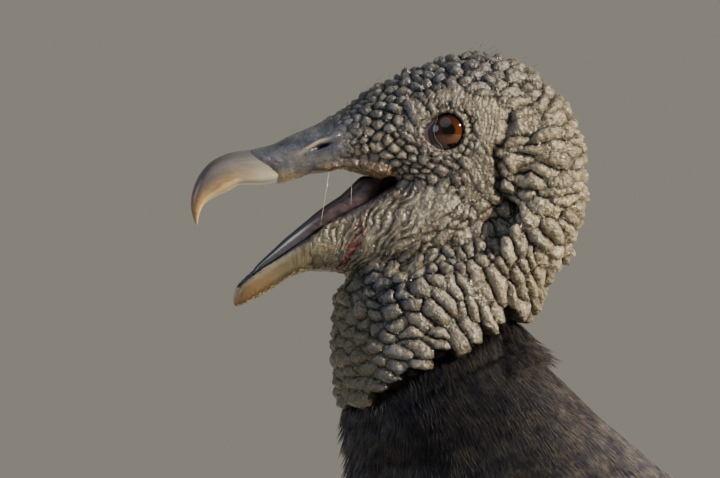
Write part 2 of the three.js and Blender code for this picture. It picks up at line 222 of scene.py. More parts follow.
def finish_piece(made, material, slot, *nodes):
    """Smooth shading, material, and the CAD nodes that the piece stands for; slot is not used."""
    made.data.materials.clear()
    made.data.materials.append(material)
    made.data.polygons.foreach_set("use_smooth", [True] * len(made.data.polygons))
    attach(made, "root")
    if nodes:
        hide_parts(*nodes)
    triangles = sum(len(p.vertices) - 2 for p in made.data.polygons)
    print(made.name, len(made.data.vertices), "points", triangles, "triangles")


print("helpers ready for", len(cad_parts), "solids")

# %% [markdown]
# ## Materials
# Each finish is a small node tree, and one function adds a node, sets it and links it, so a tree
# reads as a list of what is mixed with what.

# %% The one node function
def new_material(name):
    material = bpy.data.materials.new(name)
    material.use_nodes = True
    return material


def add_node(material, kind, out=0, stops=(), **given):
    """Adds a node and gives its output number out. Each name in given is a setting of the node or one
    of its inputs, with _ for a space; in_6 is input number 6. stops are a ramp's places and colours."""
    tree = material.node_tree
    node = tree.nodes.new("ShaderNode" + kind)
    for name, value in given.items():
        if hasattr(node, name):
            setattr(node, name, value)
            continue
        socket = node.inputs[int(name[3:]) if name.startswith("in_") else name.replace("_", " ")]
        if isinstance(value, bpy.types.NodeSocket):
            tree.links.new(value, socket)
        else:
            socket.default_value = value
    for n, (place, colour) in enumerate(stops):
        elements = node.color_ramp.elements
        element = elements[n] if n < len(elements) else elements.new(place)
        element.position = place
        element.color = linear(colour)
    return node.outputs[out]


def set_shader(material, **given):
    """Sets or links inputs of the material's own shader, with _ for a space."""
    shader = material.node_tree.nodes["Principled BSDF"]
    for name, value in given.items():
        socket = shader.inputs[name.replace("_", " ")]
        if isinstance(value, bpy.types.NodeSocket):
            material.node_tree.links.new(value, socket)
        else:
            socket.default_value = value


print("colour function gives", [round(v, 3) for v in linear("#808080")])

# %% [markdown]
# ## Floor
# The bird stands on a plain disc. It is painted with matt emulsion, which is rolled on and dries
# without gloss, so it gives the eye nothing but a soft shadow. It isn't part of the bird.

# %% Floor
FLOOR_RADIUS = 1.2
floor_form = bmesh.new()
bmesh.ops.create_circle(floor_form, cap_ends=True, segments=96, radius=FLOOR_RADIUS)
floor = object_from(floor_form, "floor")
floor_paint = new_material("matt floor paint")
set_shader(floor_paint, Base_Color=linear("#c9c6bf"), Roughness=0.9)
floor.data.materials.append(floor_paint)
print("floor", 2 * FLOOR_RADIUS, "m across")

# %% [markdown]
# ## The skin
# A vulture's head and neck are bare. The skin is one closed surface over the flesh: the solids are
# swollen a hair so that they meet, melted together by a voxel remesh, and smoothed. The head gets
# small faces, because the folds are cut into it next; the trunk gets large ones and is drawn in by
# the depth of the coat, because feathers hide it. A Boolean joins head, trunk and legs.

# %% Copy and melt solids
def copy_of(names, grow=0.0):
    """One bmesh of the named CAD nodes, merged, with every point moved out by grow."""
    form = bmesh.new()
    for name in names:
        form.from_mesh(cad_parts[name].data)
    bmesh.ops.remove_doubles(form, verts=form.verts, dist=0.01 * MM)
    bmesh.ops.recalc_face_normals(form, faces=form.faces)
    form.normal_update()
    for vert in form.verts:
        vert.co += vert.normal * grow
    return form


def melted(form, piece, voxel, rounds, levels=0):
    """A form as one smooth closed surface of even faces."""
    made = object_from(form, piece)
    remesh = made.modifiers.new("remesh", "REMESH")
    remesh.mode = "VOXEL"
    remesh.voxel_size = voxel
    soften = made.modifiers.new("soften", "SMOOTH")
    soften.factor = 0.5
    soften.iterations = rounds
    if levels:
        finer = made.modifiers.new("finer", "SUBSURF")
        finer.levels = levels
        finer.render_levels = levels
    apply_modifiers(made)
    return made


print("corners of the head's solid", len(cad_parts["head"].data.vertices))

# %% Melt the flesh solids together
COAT_DEPTH = 4.0 * MM  # the flesh is drawn in by this under the feathers
HEAD_VOXEL = 1.3 * MM
TRUNK_VOXEL = 6.0 * MM
LEG_VOXEL = 1.25 * MM
CORE_END = -60.0  # the bony core of the hook stops here, before the horn gets thin

both = list(SIDES)
toe_nodes = [f"toe_{toe}_{side}" for toe in ("hallux", "inner", "middle", "outer") for side in both]
leg_nodes = [f"shank_{side}" for side in both] + toe_nodes
head_nodes = ["head", "cere", "jaw", "neck"]
trunk_nodes = ["trunk"] + [f"{part}_{side}" for part in ("wing", "thigh") for side in both]

flesh = copy_of(head_nodes + ["eye_left", "eye_right", "bill_hook"], 0.3 * MM)
everything = flesh.verts[:] + flesh.edges[:] + flesh.faces[:]
bmesh.ops.bisect_plane(
    flesh, geom=everything, plane_co=from_face(CORE_END, 0, 0), plane_no=(-1, 0, 0), clear_outer=True,
)
bmesh.ops.holes_fill(flesh, edges=[e for e in flesh.edges if e.is_boundary], sides=0)
skin = melted(flesh, "skin", HEAD_VOXEL, 4, levels=1)
trunk_skin = melted(copy_of(trunk_nodes, 0.5 * MM), "trunk_skin", TRUNK_VOXEL, 3)
move_points(trunk_skin, points_of(trunk_skin) - normals_of(trunk_skin) * COAT_DEPTH)
leg_skin = melted(copy_of(leg_nodes, 0.1 * MM), "leg_skin", LEG_VOXEL, 2)
print("head", len(skin.data.vertices), "trunk", len(trunk_skin.data.vertices), "points")

# %% [markdown]
# ## Cere, eyes and nostrils
# The cere, the soft skin over the root of the bill, is smooth, so its facets are ironed out by moving
# its points to the middle of their neighbours a few times. That shrinks it a little, so it is grown
# back. The lids and the nostril need finer faces than the rest, so those near them are divided once.

# %% Smooth cere, finer faces at the eyes and nostrils
CERE_ROUNDS = 24
CERE_REAR = -27  # where the cere ends, and the depth below the eye that it reaches, in millimetres
CERE_LOW = 26
NOSTRIL = (-34.2, 7.0, -4.1)
FINE_SPOTS = [((0.0, EYE.y / MM, 0.0), 9.0), ((0.0, -EYE.y / MM, 0.0), 9.0)]
FINE_SPOTS += [((NOSTRIL[0], NOSTRIL[1] * side, NOSTRIL[2]), 4.0) for side in SIDES.values()]

form = bmesh.new()
form.from_mesh(skin.data)
cere_edge = from_face(CERE_REAR, 0, 0).x
bill_part = [v for v in form.verts if v.co.x < cere_edge and v.co.z > EYE.z - CERE_LOW * MM]
for _ in range(CERE_ROUNDS):
    bmesh.ops.smooth_vert(
        form, verts=bill_part, factor=0.5, use_axis_x=True, use_axis_y=True, use_axis_z=True,
    )
form.normal_update()
for vert in bill_part:
    vert.co += vert.normal * 0.4 * MM * float(smoothstep(0, 4, (cere_edge - vert.co.x) / MM))
for (x, y, z), reach in FINE_SPOTS:
    spot = from_face(x, y, z)
    flat = [f for f in form.faces if (f.calc_center_median() - spot).length < reach * MM * 1.1]
    near = {e for f in flat for e in f.edges}
    bmesh.ops.subdivide_edges(form, edges=list(near), cuts=1, use_grid_fill=True, smooth=0.0)
bmesh.ops.triangulate(form, faces=[f for f in form.faces if len(f.verts) > 4])
form.to_mesh(skin.data)
form.free()
print("smoothed", len(bill_part), "points; with finer faces", len(skin.data.vertices), "points")

# %% [markdown]
# ## One closed skin
# A Boolean union keeps only the outer surface of the three shells, so head, trunk and legs become one
# skin without a seam inside it. The manifold solver is quick and exact, and needs closed shells, which
# the voxel remesh has made.

# %% Join head, trunk and legs
for other in (trunk_skin, leg_skin):
    join = skin.modifiers.new("join", "BOOLEAN")
    join.operation = "UNION"
    join.solver = "MANIFOLD"
    join.object = other
apply_modifiers(skin)
for other in (trunk_skin, leg_skin):
    bpy.data.objects.remove(other)
print("skin after the union", len(skin.data.vertices), "points")

# %% [markdown]
# ## Zones of folds
# The bare skin isn't the same all over: beads before the eye, cobbles on the crown, fine pleats on
# the cheek and long lobes on the neck. Each zone says where it is, how far it reaches, how wide its
# bumps are, how long for their width, which way they lie, how high they stand and how pale they are.

# %% Zones of folds
ZONES = [
    # x, z, reach, width, length, lie in degrees down towards the tail, height, paleness, clannish
    (-60, -12, 9, 1.6, 1.5, 10, 0.00, 0.1, 0),  # bony core of the hook
    (-44, -8, 7, 1.6, 1.5, 10, 0.00, 0.1, 0),  # cere
    (-34, -4, 5, 1.6, 1.5, 10, 0.03, 0.1, 0),  # cere by the nostril
    (-27, -8, 4, 1.6, 1.3, 5, 0.6, 0.3, 0),  # edge of the cere
    (-26, 2, 4, 1.7, 1.1, 0, 0.7, 0.15, 0),  # edge of the forehead
    (-19, -4, 5, 1.9, 1.15, 0, 1.6, 0.7, 0.2),  # lores
    (-17, 7, 6, 2.6, 1.1, 0, 2.1, 0.2, 0.3),  # forehead
    (-5, 15, 6, 3.0, 1.1, 20, 2.7, 0.05, 0.5),  # front of the crown
    (9, 20, 7, 3.1, 1.2, 0, 2.7, 0.1, 0.5),  # crown
    (20, 14, 6, 3.2, 1.4, -20, 2.7, 0.45, 0.6),  # back of the crown
    (-8.5, 3, 4, 2.6, 2.8, 80, 1.1, 0.4, 0),  # before the eye
    (-2, 9, 5, 2.4, 2.6, 80, 0.25, 0.5, 0),  # brow
    (8, 4, 5, 1.6, 3.6, 82, 0.3, 0.75, 0),  # behind the eye
    (8, -12, 5, 2.0, 1.6, 60, 0.8, 0.6, 0.2),  # ear
    (-4, -11, 4, 2.4, 1.3, 20, 1.6, 0.45, 0),  # below the eye
    (-14, -12, 3, 1.9, 1.3, 20, 1.1, 0.4, 0),  # above the gape
    (-6, -19, 5, 1.8, 2.4, -40, 0.7, 0.5, 0),  # cheek
    (3, -24, 5, 2.3, 1.6, -45, 1.3, 0.55, 0),  # jaw angle
    (-19, -27, 6, 2.0, 4.5, -62, 0.35, 0.7, 0),  # side of the jaw
    (-33, -32, 6, 1.8, 4.5, -85, 0.2, 0.6, 0),  # chin
    (-16, -36, 3, 2.3, 2.8, -40, 1.5, 0.6, 0),  # under the jaw
    (-5, -31, 3, 2.5, 2.0, -36, 1.6, 0.6, 0),  # under the jaw angle
    (22, 4, 5, 2.7, 2.5, -18, 2.5, 0.85, 0.9),  # top of the nape
    (28, -11, 7, 2.8, 3.2, 3, 2.7, 1.0, 1),  # nape
    (16, -14, 4, 2.8, 1.6, 10, 2.4, 0.8, 0.1),  # front of the collar
    (29, -30, 7, 2.9, 2.6, 38, 2.8, 0.95, 0.8),  # low nape
    (18, -34, 5, 2.9, 3.0, 70, 2.7, 0.85, 0.1),  # back of the neck
    (11, -45, 5, 3.0, 3.0, 62, 2.8, 0.8, 0),  # back of the neck, below
    (0, -36, 4, 2.6, 2.0, 62, 2.4, 0.5, 0),  # side of the neck, above
    (2, -44, 4, 2.7, 2.9, 64, 2.6, 0.55, 0),  # side of the neck
    (-8, -45, 4, 2.8, 1.8, 44, 2.4, 0.45, 0),  # side of the neck, before
    (1, -57, 5, 3.0, 2.4, 55, 2.7, 0.6, 0),  # side of the neck, below
    (-9, -59, 5, 3.0, 2.1, 22, 2.8, 0.65, 0),  # foot of the neck's side
    (-15, -53, 4, 2.8, 1.9, 6, 2.5, 0.5, 0),  # throat's side
    (-20, -46, 5, 3.3, 1.15, 15, 2.5, 0.05, 0),  # top of the throat
    (-29, -54, 5, 3.5, 1.2, -5, 2.7, 0.0, 0),  # throat
    (-21, -61, 5, 3.1, 1.9, 3, 2.6, 0.15, 0),  # throat, below
    (-23, -70, 6, 3.0, 2.1, -6, 2.7, 0.05, 0),  # foot of the throat
]
print(len(ZONES), "zones of folds")

# %% [markdown]
# ## Blending the zones
# Each zone's weight falls off with distance, so its values melt into its neighbours'. A lie of 0
# degrees and one of 180 are the same, so lies are blended as doubled angles.

# %% Zone blend
NEAREST_SHARE = 0.02  # stops a zone's own middle from having endless weight


def zone_blend(face):
    """Width, length, lie in radians, height, paleness and clannishness of the folds at each point."""
    total = np.zeros(len(face))
    blended = np.zeros((len(face), 7))
    for x, z, reach, width, length, lie, height, paleness, clannish in ZONES:
        away = ((face[:, 0] - x) ** 2 + (face[:, 2] - z) ** 2) / reach ** 2
        share = 1.0 / (NEAREST_SHARE + away ** 2)
        double = 2 * radians(lie)
        row = np.array([width, length, height, paleness, clannish, cos(double), sin(double)])
        blended += share[:, None] * row
        total += share
    blended /= total[:, None]
    lie = np.arctan2(blended[:, 6], blended[:, 5]) / 2
    return blended[:, 0], blended[:, 1], lie, blended[:, 2], blended[:, 3], blended[:, 4]


print("folds at the crown", [round(float(v[0]), 2) for v in zone_blend(np.array([[9.0, 0.0, 20.0]]))])

# %% [markdown]
# ## Ripples and lines
# Nothing in skin is quite regular, so many numbers below are stirred by ripples: smooth random hills,
# made by adding waves that run in random directions. Grooves, borders and ridges are drawn as short
# lines in the side view, and each point then knows how far along and how far beside a line it is.

# %% Ripples and lines
def ripple(points, wavelength, rng, waves=18):
    """Smooth random hills, about -1 to 1, as a sum of plane waves of random direction."""
    total = np.zeros(len(points))
    for _ in range(waves):
        direction = unit(rng.normal(size=3))
        wave = 2 * pi / (wavelength * rng.uniform(0.7, 1.4))
        total += np.cos(points @ direction * wave + rng.uniform(0, 2 * pi))
    return total / sqrt(waves)


def along_line(face, line):
    """How far along a line in the side view each point is, 0 to 1, and its distance to the left of
    the way along it; both lines and points are face millimetres."""
    flat = face[:, [0, 2]]
    best = np.full(len(face), 1e9)
    done = np.zeros(len(face))
    signed = np.zeros(len(face))
    travelled = 0.0
    for start, end in zip(line, line[1:]):
        a, b = np.array(start, float), np.array(end, float)
        span = np.linalg.norm(b - a)
        t = np.clip(((flat - a) @ (b - a)) / span ** 2, 0, 1)
        gap = flat - a - t[:, None] * (b - a)
        distance = np.linalg.norm(gap, axis=1)
        turn = (b - a)[1] * gap[:, 0] - (b - a)[0] * gap[:, 1]
        closer = distance < best
        signed = np.where(closer, np.sign(turn) * distance, signed)
        done = np.where(closer, travelled + t * span, done)
        best = np.where(closer, distance, best)
        travelled += span
    return done / travelled, signed


print("a ripple at three points", ripple(np.eye(3), 2.0, np.random.default_rng(1)).round(2))

# %% [markdown]
# ## Lobes between creases
# The bumps of loose skin pack like cobbles: each grows from its own middle until it meets the next,
# and a crease is left between them. So seeds are thrown on the skin, none too near another by the
# local width and length, and each point's height follows from how much nearer its own seed is than
# the next one. Between lobes that lie end to end the crease is shallow, which draws them into rows.
# The flanks lean over the crease a little, so that it closes to a thin dark line, as in real folds.

# %% Throw seeds
def throw_seeds(face, along, width, length, order, spacing=0.98):
    """Indexes of the points kept as middles of lobes, tried in the given order."""
    bins = {}
    kept = []
    cell = 1.05 * spacing * float((width * length).max())
    corners = [(a, b, c) for a in (-1, 0, 1) for b in (-1, 0, 1) for c in (-1, 0, 1)]
    for index in order:
        key = tuple((face[index] // cell).astype(int))
        rivals = [k for a, b, c in corners for k in bins.get((key[0] + a, key[1] + b, key[2] + c), ())]
        if rivals:
            step = face[index] - face[rivals]
            a = (step * along[rivals]).sum(1)
            rest = (step ** 2).sum(1) - a ** 2
            apart = (a / length[rivals]) ** 2 + rest
            if (apart < (spacing * width[rivals]) ** 2).any():
                continue
        kept.append(index)
        bins.setdefault(key, []).append(index)
    return np.array(kept)


lone = throw_seeds(np.zeros((1, 3)), np.eye(3)[:1], np.ones(1), np.ones(1), [0])
print("a lone point makes", len(lone), "seed")

# %% Lobes
NEIGHBOURS = 8  # seeds looked at round each point


class Lobes:
    """Lobes round seeds: for each point how far it is from a crease (gap, 0 to 1), its rise, its own
    seed's number, its place on the lobe, and its lean over the crease. Where two seeds are of one
    family the crease between them is faint, so that a family makes one large knobbly lobe."""

    def __init__(
        self, face, out, seeds, along, width, length, crease, lean, family=None, faint=1.0, soft_ends=0.0,
    ):
        tree = KDTree(len(seeds))
        for n, index in enumerate(seeds):
            tree.insert(face[index], n)
        tree.balance()
        near = np.array([[hit[1] for hit in tree.find_n(p, NEIGHBOURS)] for p in face])
        owner = seeds[near]
        step = face[:, None, :] - face[owner]
        a = (step * along[owner]).sum(2)
        rest = np.maximum((step ** 2).sum(2) - a ** 2, 0)
        distance = np.sqrt((a / length[owner]) ** 2 + rest) / width[owner]
        order = np.argsort(distance, axis=1)
        rows = np.arange(len(face))
        distance, near = np.take_along_axis(distance, order, 1), np.take_along_axis(near, order, 1)
        first = order[:, 0]
        strength = np.ones(distance.shape)
        if family is not None:
            related = family[near] == family[near[:, :1]]
            strength = np.where(related, np.broadcast_to(faint, distance.T.shape).T, 1.0)
        own = seeds[near[:, :1]]
        apart = face[seeds[near]] - face[own]
        endwise = (apart * along[own]).sum(2)
        sideways = np.maximum((apart ** 2).sum(2) - endwise ** 2, 1e-6)
        endwise = (endwise / length[own]) ** 2
        long_ones = smoothstep(1.5, 2.4, length[own])
        strength = strength * (1 - soft_ends * long_ones * endwise / (endwise + sideways))
        wall = np.clip(1 - (distance - distance[:, :1]) / crease, 0, 1)[:, 1:] * strength[:, 1:]
        nearest_wall = np.argmax(wall, axis=1)
        wall = wall[rows, nearest_wall]
        self.gap = 1 - wall
        self.rise = 0.4 * np.sqrt(1 - wall ** 2) + 0.6 * (1 - wall ** 1.4)
        self.seed = near[:, 0]
        self.on_a = a[rows, first]
        self.on_b = np.sqrt(rest[rows, first])
        mine = seeds[self.seed]
        to_next = face[seeds[near[rows, nearest_wall + 1]]] - face[mine]
        way = unit(to_next - out * (to_next * out).sum(1)[:, None])
        self.lean = way * (lean * width[mine] * self.gap * wall ** 2)[:, None]


print("each point looks at its", NEIGHBOURS, "nearest seeds")

# %% [markdown]
# ## Which part of the skin is bare
# The bare skin ends at a slanted edge, lower at the throat than at the nape. Only the points above it
# and a little below it are sculpted, and each gets its own blend of the zones.

# %% Bare points
rng = np.random.default_rng(7)
points = points_of(skin)
normals = normals_of(skin)
face_all = to_face(points)
BORDER_BACK = (22.0, -51.4)  # x and z of the edge's end at the nape
BORDER_SLOPE = (0.398, -0.917)  # the way straight down from the edge
UNDER_EDGE = 9.0  # how far below the edge the skin is still sculpted, under the feathers


def below_border(face):
    """How far each point is below the slanted edge where the bare neck meets the feathers."""
    below = (face[:, 0] - BORDER_BACK[0]) * BORDER_SLOPE[0] + (face[:, 2] - BORDER_BACK[1]) * BORDER_SLOPE[1]
    return below - np.interp(face[:, 0], (-28, -22, -13, -3, 12, 20), (6.5, 4.2, 1.5, 0.0, 0.0, 2.5))


under_all = below_border(face_all)
bare = np.flatnonzero((under_all < UNDER_EDGE) & (face_all[:, 2] > -95))
face = face_all[bare]
out = normals[bare]
under = under_all[bare]
width, length, lie, height, paleness, clannish = zone_blend(face)
print(len(bare), "of", len(points), "points are bare skin")

# %% [markdown]
# ## The eyes' surroundings
# Both eyes look out and a little forward. Each opening is a teardrop whose point is the front corner.
# A ring of small beads stands on the lids, so near the eyes the zone's values give way to the ring's.

# %% Around the eyes
LOOK_FORWARD = radians(13)
LOOK_UP = radians(3)
OPENING_WIDE = 3.85  # half the opening's width and height, in millimetres
OPENING_TALL = 4.42
CORNER_REACH = 3.1
CORNER_ANGLE = radians(189)
CORNER_ABOVE = radians(35)
CORNER_BELOW = radians(52)
RADIUS = EYE_RADIUS / MM


def eye_frame(side):
    """The eye's middle in face millimetres, and unit vectors outwards, backwards and upwards."""
    look = np.array([
        -sin(LOOK_FORWARD) * cos(LOOK_UP),
        side * cos(LOOK_FORWARD) * cos(LOOK_UP),
        sin(LOOK_UP),
    ])
    back = unit(np.cross(look, np.array([0, 0, 1.0]))) * side
    lift = unit(np.cross(look, back)) * side
    lift = lift if lift[2] > 0 else -lift
    return np.array([0.0, side * abs(EYE.y) / MM, 0.0]), look, back, lift


def eye_polar(points_mm, side):
    """Height above the eye's middle, distance from its axis, and angle from straight back."""
    middle, look, back, lift = eye_frame(side)
    step = points_mm - middle
    u, v = step @ back, step @ lift
    return step @ look, np.hypot(u, v), np.arctan2(v, u) % (2 * pi)


def opening_radius(angle):
    """The opening's radius at each angle: an upright oval with a crescent drawn out to the front corner."""
    oval = 1 / np.hypot(np.cos(angle) / OPENING_WIDE, np.sin(angle) / OPENING_TALL)
    turn = angle - CORNER_ANGLE
    reach = np.where(turn < 0, CORNER_ABOVE, CORNER_BELOW)
    return oval + CORNER_REACH * np.exp(0.1 - np.hypot(turn / reach, 0.1))


def ball_height(radius, angle):
    """Height of the eye's surface: a ball that stays fuller towards the front corner."""
    ball = np.sqrt(np.maximum(RADIUS ** 2 - radius ** 2, 0.3))
    full = 5.75 + 0.1 * (radius - 4.3)
    corner = np.exp(-((angle - CORNER_ANGLE - 0.2) / 1.0) ** 2) * smoothstep(3.6, 4.6, radius)
    return ball * (1 - corner) + np.maximum(full, ball) * corner


print("eye's radius", round(RADIUS, 2), "mm")

# %% Ring of beads round each eye
BEAD = (1.35, 1.15, 1.05)  # width, length for width and height of the beads on the lids

eye_near = np.full(len(face), 99.0)
for side in SIDES.values():
    rise, radius, angle = eye_polar(face, side)
    ring = radius - (opening_radius(angle) - OPENING_WIDE) * 0.6
    eye_near = np.where(rise > 0, np.minimum(eye_near, ring), eye_near)
ring = smoothstep(9.0, 6.5, eye_near)
width, length, height = (
    values * (1 - ring) + bead * ring for values, bead in zip((width, length, height), BEAD)
)
print("points in the rings of beads", int((ring > 0.5).sum()))

# %% [markdown]
# ## Growing the lobes
# Three sizes of bump lie on each other: clans of lobes, which make the nape's large knobbly folds,
# the lobes themselves, and small knobs on them. The points are bent by ripples first, so that no
# crease is a straight line.

# %% Throw the seeds and grow the lobes
across = np.stack([np.sin(lie), np.zeros_like(lie), np.cos(lie)], axis=1)
along = unit(np.cross(out, across))
bend = np.stack([ripple(face, 11.0, rng) for _ in range(3)], axis=1) * 0.5
bend += np.stack([ripple(face, 3.2, rng) for _ in range(3)], axis=1) * 0.2
bent = face + bend
spread = width * (1 + 0.16 * ripple(face, 9.0, rng))
one = np.ones(len(face))

order = rng.permutation(len(face))[:20000]
clan_seeds = throw_seeds(bent, along, spread * 1.9, length * 1.15, order)
clans = Lobes(bent, out, clan_seeds, along, spread * 1.9, length * 1.15, 0.9, 0.2)
order = rng.permutation(len(face))[:30000]
seeds = throw_seeds(bent, along, spread, length, order)
faint = 1.0 - 0.22 * clannish
folds = Lobes(bent, out, seeds, along, spread, length, 1.1, 0.5, clans.seed[seeds], faint, 0.45)
lift = rng.uniform(0.6, 1.15, len(seeds))[folds.seed]

knob_width = np.clip(width * 0.5, 1.2, 1.9)
order = rng.permutation(len(face))[:40000]
knob_seeds = throw_seeds(bent, along, knob_width, one, order)
knobs = Lobes(bent, out, knob_seeds, along, knob_width, one, 1.0, 0.3)
knob_lift = rng.uniform(0.3, 1.3, len(knob_seeds))[knobs.seed]
print("clans", len(clan_seeds), "lobes", len(seeds), "knobs on them", len(knob_seeds))

# %% [markdown]
# ## Groove, mouth and cere
# A deep crease parts the face from the nape's loose collar, and runs down behind the cheek and under
# the jaw. The mouth is hollow, and the cere has a slit nostril under a ridge. It runs forward over the
# root of the hook, where skin stands proud of horn. Beyond, the bony core lies inside the horn.

# %% Lines of the groove, nostril and cere
GROOVE = [(9, 13), (13.5, 5), (14, 0), (11.2, -6), (11.4, -11), (13.9, -17), (15, -21), (13, -27),
          (6, -31.5), (-3.6, -36), (-14.6, -41), (-24, -45)]
GROOVE_DEPTH = [0.4, 0.7, 1.3, 2.3, 2.4, 2.2, 1.6, 1.0, 0.9, 1.0, 1.1, 1.0]  # at even steps along it
NOSTRIL_RIDGE = [(-41.5, -6.9), (-38.5, -4.9), (-35.0, -2.9), (-31.0, -1.6)]
NOSTRIL_GROOVE = [(-31.5, -3.3), (-28.5, -2.7), (-24.5, -2.0)]
CERE_BORDER = [(-56, -4.0), (-52.9, -6.0), (-47.9, -9.2), (-46.2, -11.4), (-45.6, -14.5)]
HORN_INSET = 0.9  # how far inside the horn the skin lies
print("groove from", GROOVE[0], "to", GROOVE[-1])

# %% Mouth
# The mouth's hollow: x, top, bottom and half width, as the solids have it.
MOUTH = np.array([
    (-60, -31, -41, 2.0), (-54, -26.6, -41.4, 2.6), (-46, -19.4, -36.4, 3.8), (-38, -11.8, -31, 4.6),
    (-30, -8, -25, 6.6), (-22, -8, -20.6, 9.2), (-16, -9.6, -16.4, 11.5), (-8, -12, -14.6, 6.0),
])


def in_mouth(face):
    """1 on the lining of the mouth, 0 outside."""
    top, bottom, half = (np.interp(face[:, 0], MOUTH[:, 0], MOUTH[:, n]) for n in (1, 2, 3))
    inside = smoothstep(0.1, -0.5, np.abs(face[:, 1]) - half)
    inside *= smoothstep(1.3, 0.5, face[:, 2] - top) * smoothstep(1.3, 0.5, bottom - face[:, 2])
    return inside * smoothstep(-8.5, -11, face[:, 0])


mouth = in_mouth(face)
print("points in the mouth", int((mouth > 0.5).sum()))

# %% Groove, lobes and the edge under the feathers
on_groove, groove = along_line(face + bend * 1.5, GROOVE)
groove_depth = np.interp(on_groove, np.linspace(0, 1, len(GROOVE_DEPTH)), GROOVE_DEPTH)
cut = groove_depth * np.exp(-np.abs(groove / 0.8) ** 1.5) * smoothstep(0.15, 0.5, np.abs(out[:, 1]))
lip = 0.45 * groove_depth * np.exp(-((-groove - 2.6) / 1.9) ** 2) * (groove < 0)
edge = 1.6 * np.exp(-((under + 3.0) / 3.5) ** 2)  # the collar's edge is swollen
hidden = (below_border(face[seeds]) > -2.8)[folds.seed]
pull = 3.4 * hidden * smoothstep(9.0, 5.0, under)
calm = smoothstep(4.4, 5.2, eye_near) * (1 - mouth) * (face[:, 0] > -52)
calm *= 1 - (face[:, 2] < -22) * smoothstep(-32, -37, face[:, 0])
lumps = 0.95 * folds.rise * lift + 0.38 * clannish * (clans.rise - 0.3)
lumps += (0.12 + 0.16 * clannish) * (knobs.rise * knob_lift - 0.7)
depth = height * (lumps - 0.75) * calm - cut * calm + lip + edge * (1 - hidden) - pull
print("relief from", depth.min().round(1), "to", depth.max().round(1), "mm")

# %% Palate and chin
palate = mouth * smoothstep(0.0, -0.4, out[:, 2]) * smoothstep(-37, -32, face[:, 0])
palate_drop = 1.15 + 1.8 * smoothstep(-31, -21, face[:, 0]) + 0.15 * ripple(face, 1.8, rng)
depth += palate * smoothstep(-13, -18, face[:, 0]) * palate_drop
chin = (face[:, 2] < -19) * smoothstep(-22, -35, face[:, 0] + 0.25 * (face[:, 2] + 30))
under_horn = smoothstep(-33.5, -40, face[:, 0] + 1.2 * ripple(face, 3.5, rng))
depth -= HORN_INSET * (face[:, 2] < -22) * under_horn
print("points of the palate", int((palate > 0.5).sum()), "of the chin", int((chin > 0.5).sum()))

# %% Nostril, cere's border and the lips
outer = np.abs(face[:, 1]) > 2.5
slit_x = (face[:, 0] - NOSTRIL[0]) / 2.2
slit_z = (face[:, 2] - NOSTRIL[2] - 0.32 * (face[:, 0] - NOSTRIL[0])) / 0.45
nostril = np.exp(-(slit_x ** 2 + slit_z ** 2) ** 1.5) * outer
on_ridge, ridge = along_line(face, NOSTRIL_RIDGE)
_, behind = along_line(face, NOSTRIL_GROOVE)
ridge_mask = np.exp(-(ridge / 0.45) ** 2) * outer * np.sin(np.pi * np.clip(on_ridge, 0.05, 0.95))
depth += 0.9 * ridge_mask
depth -= 1.9 * nostril + 0.6 * np.exp(-(behind / 0.6) ** 2) * outer
_, past_cere = along_line(face, CERE_BORDER)
on_upper = (face[:, 2] > -30) & (face[:, 0] < -42)
raised = 0.15 * smoothstep(-7.0, -9.5, face[:, 2])
depth += np.where(on_upper, raised - (raised + HORN_INSET) * smoothstep(-0.6, 0.5, past_cere), 0)
lean = (folds.lean + knobs.lean * 0.6) * (calm * (1 - hidden) * np.minimum(height, 1))[:, None]
face = face + out * depth[:, None] + lean
drawn_up = 1.5 * np.exp(-((face[:, 2] + 11.0) / 1.5) ** 2) * (1 - mouth) * (out[:, 2] < 0.5)
face[:, 2] += drawn_up * smoothstep(-30, -25, face[:, 0]) * smoothstep(-14.0, -17.5, face[:, 0])
print("deepest of the nostril", (-1.9 * nostril).min().round(1), "mm")

# %% [markdown]
# ## Lids
# Round each opening the skin rises to a rim that lies on the ball, and inside the opening it dives
# behind the ball. Points near the rim are set at heights above the eye's middle.

# %% Lids
RIM_THICK = 0.55  # how far the lid's rim stands off the ball, in millimetres
lid = np.zeros(len(face))
for side in SIDES.values():
    middle, look, back, lift_up = eye_frame(side)
    rise, radius, angle = eye_polar(face, side)
    hole = opening_radius(angle)
    ball = ball_height(radius, angle)
    rim = ball_height(hole, angle) + RIM_THICK
    past = radius - hole
    rolled = rim - 0.35 * smoothstep(0.6, 0.0, past) + 0.25 * smoothstep(0.2, 0.9, past)
    keep = smoothstep(0.6, 2.2, past)
    target = rolled * (1 - keep) + rise * keep
    inner = ball - 2.2 - 1.5 * smoothstep(0.0, 2.0, -past)
    target = np.where(past < 0, inner, target)
    here = (rise > 0) & (past < 3.2)
    face[here] += look * (target - rise)[here, None]
    wet = np.exp(-((past - 0.05) / 0.32) ** 2) * (0.1 + 0.9 * np.exp(-((angle - 4.1) / 0.7) ** 2))
    lid = np.where(here, np.maximum(lid, wet), lid)
points[bare] = face * MM + FACE_ORIGIN
move_points(skin, points)
print("points on the lids' wet rims", int((lid > 0.3).sum()))

# %% [markdown]
# ## Fine wrinkles
# The side of the jaw and the skin behind the eye are pleated more finely than the faces of the mesh
# are, so these folds are drawn by the material's bump. Each point keeps its phase, which says where
# in the row of pleats it is, and how strongly it is pleated.

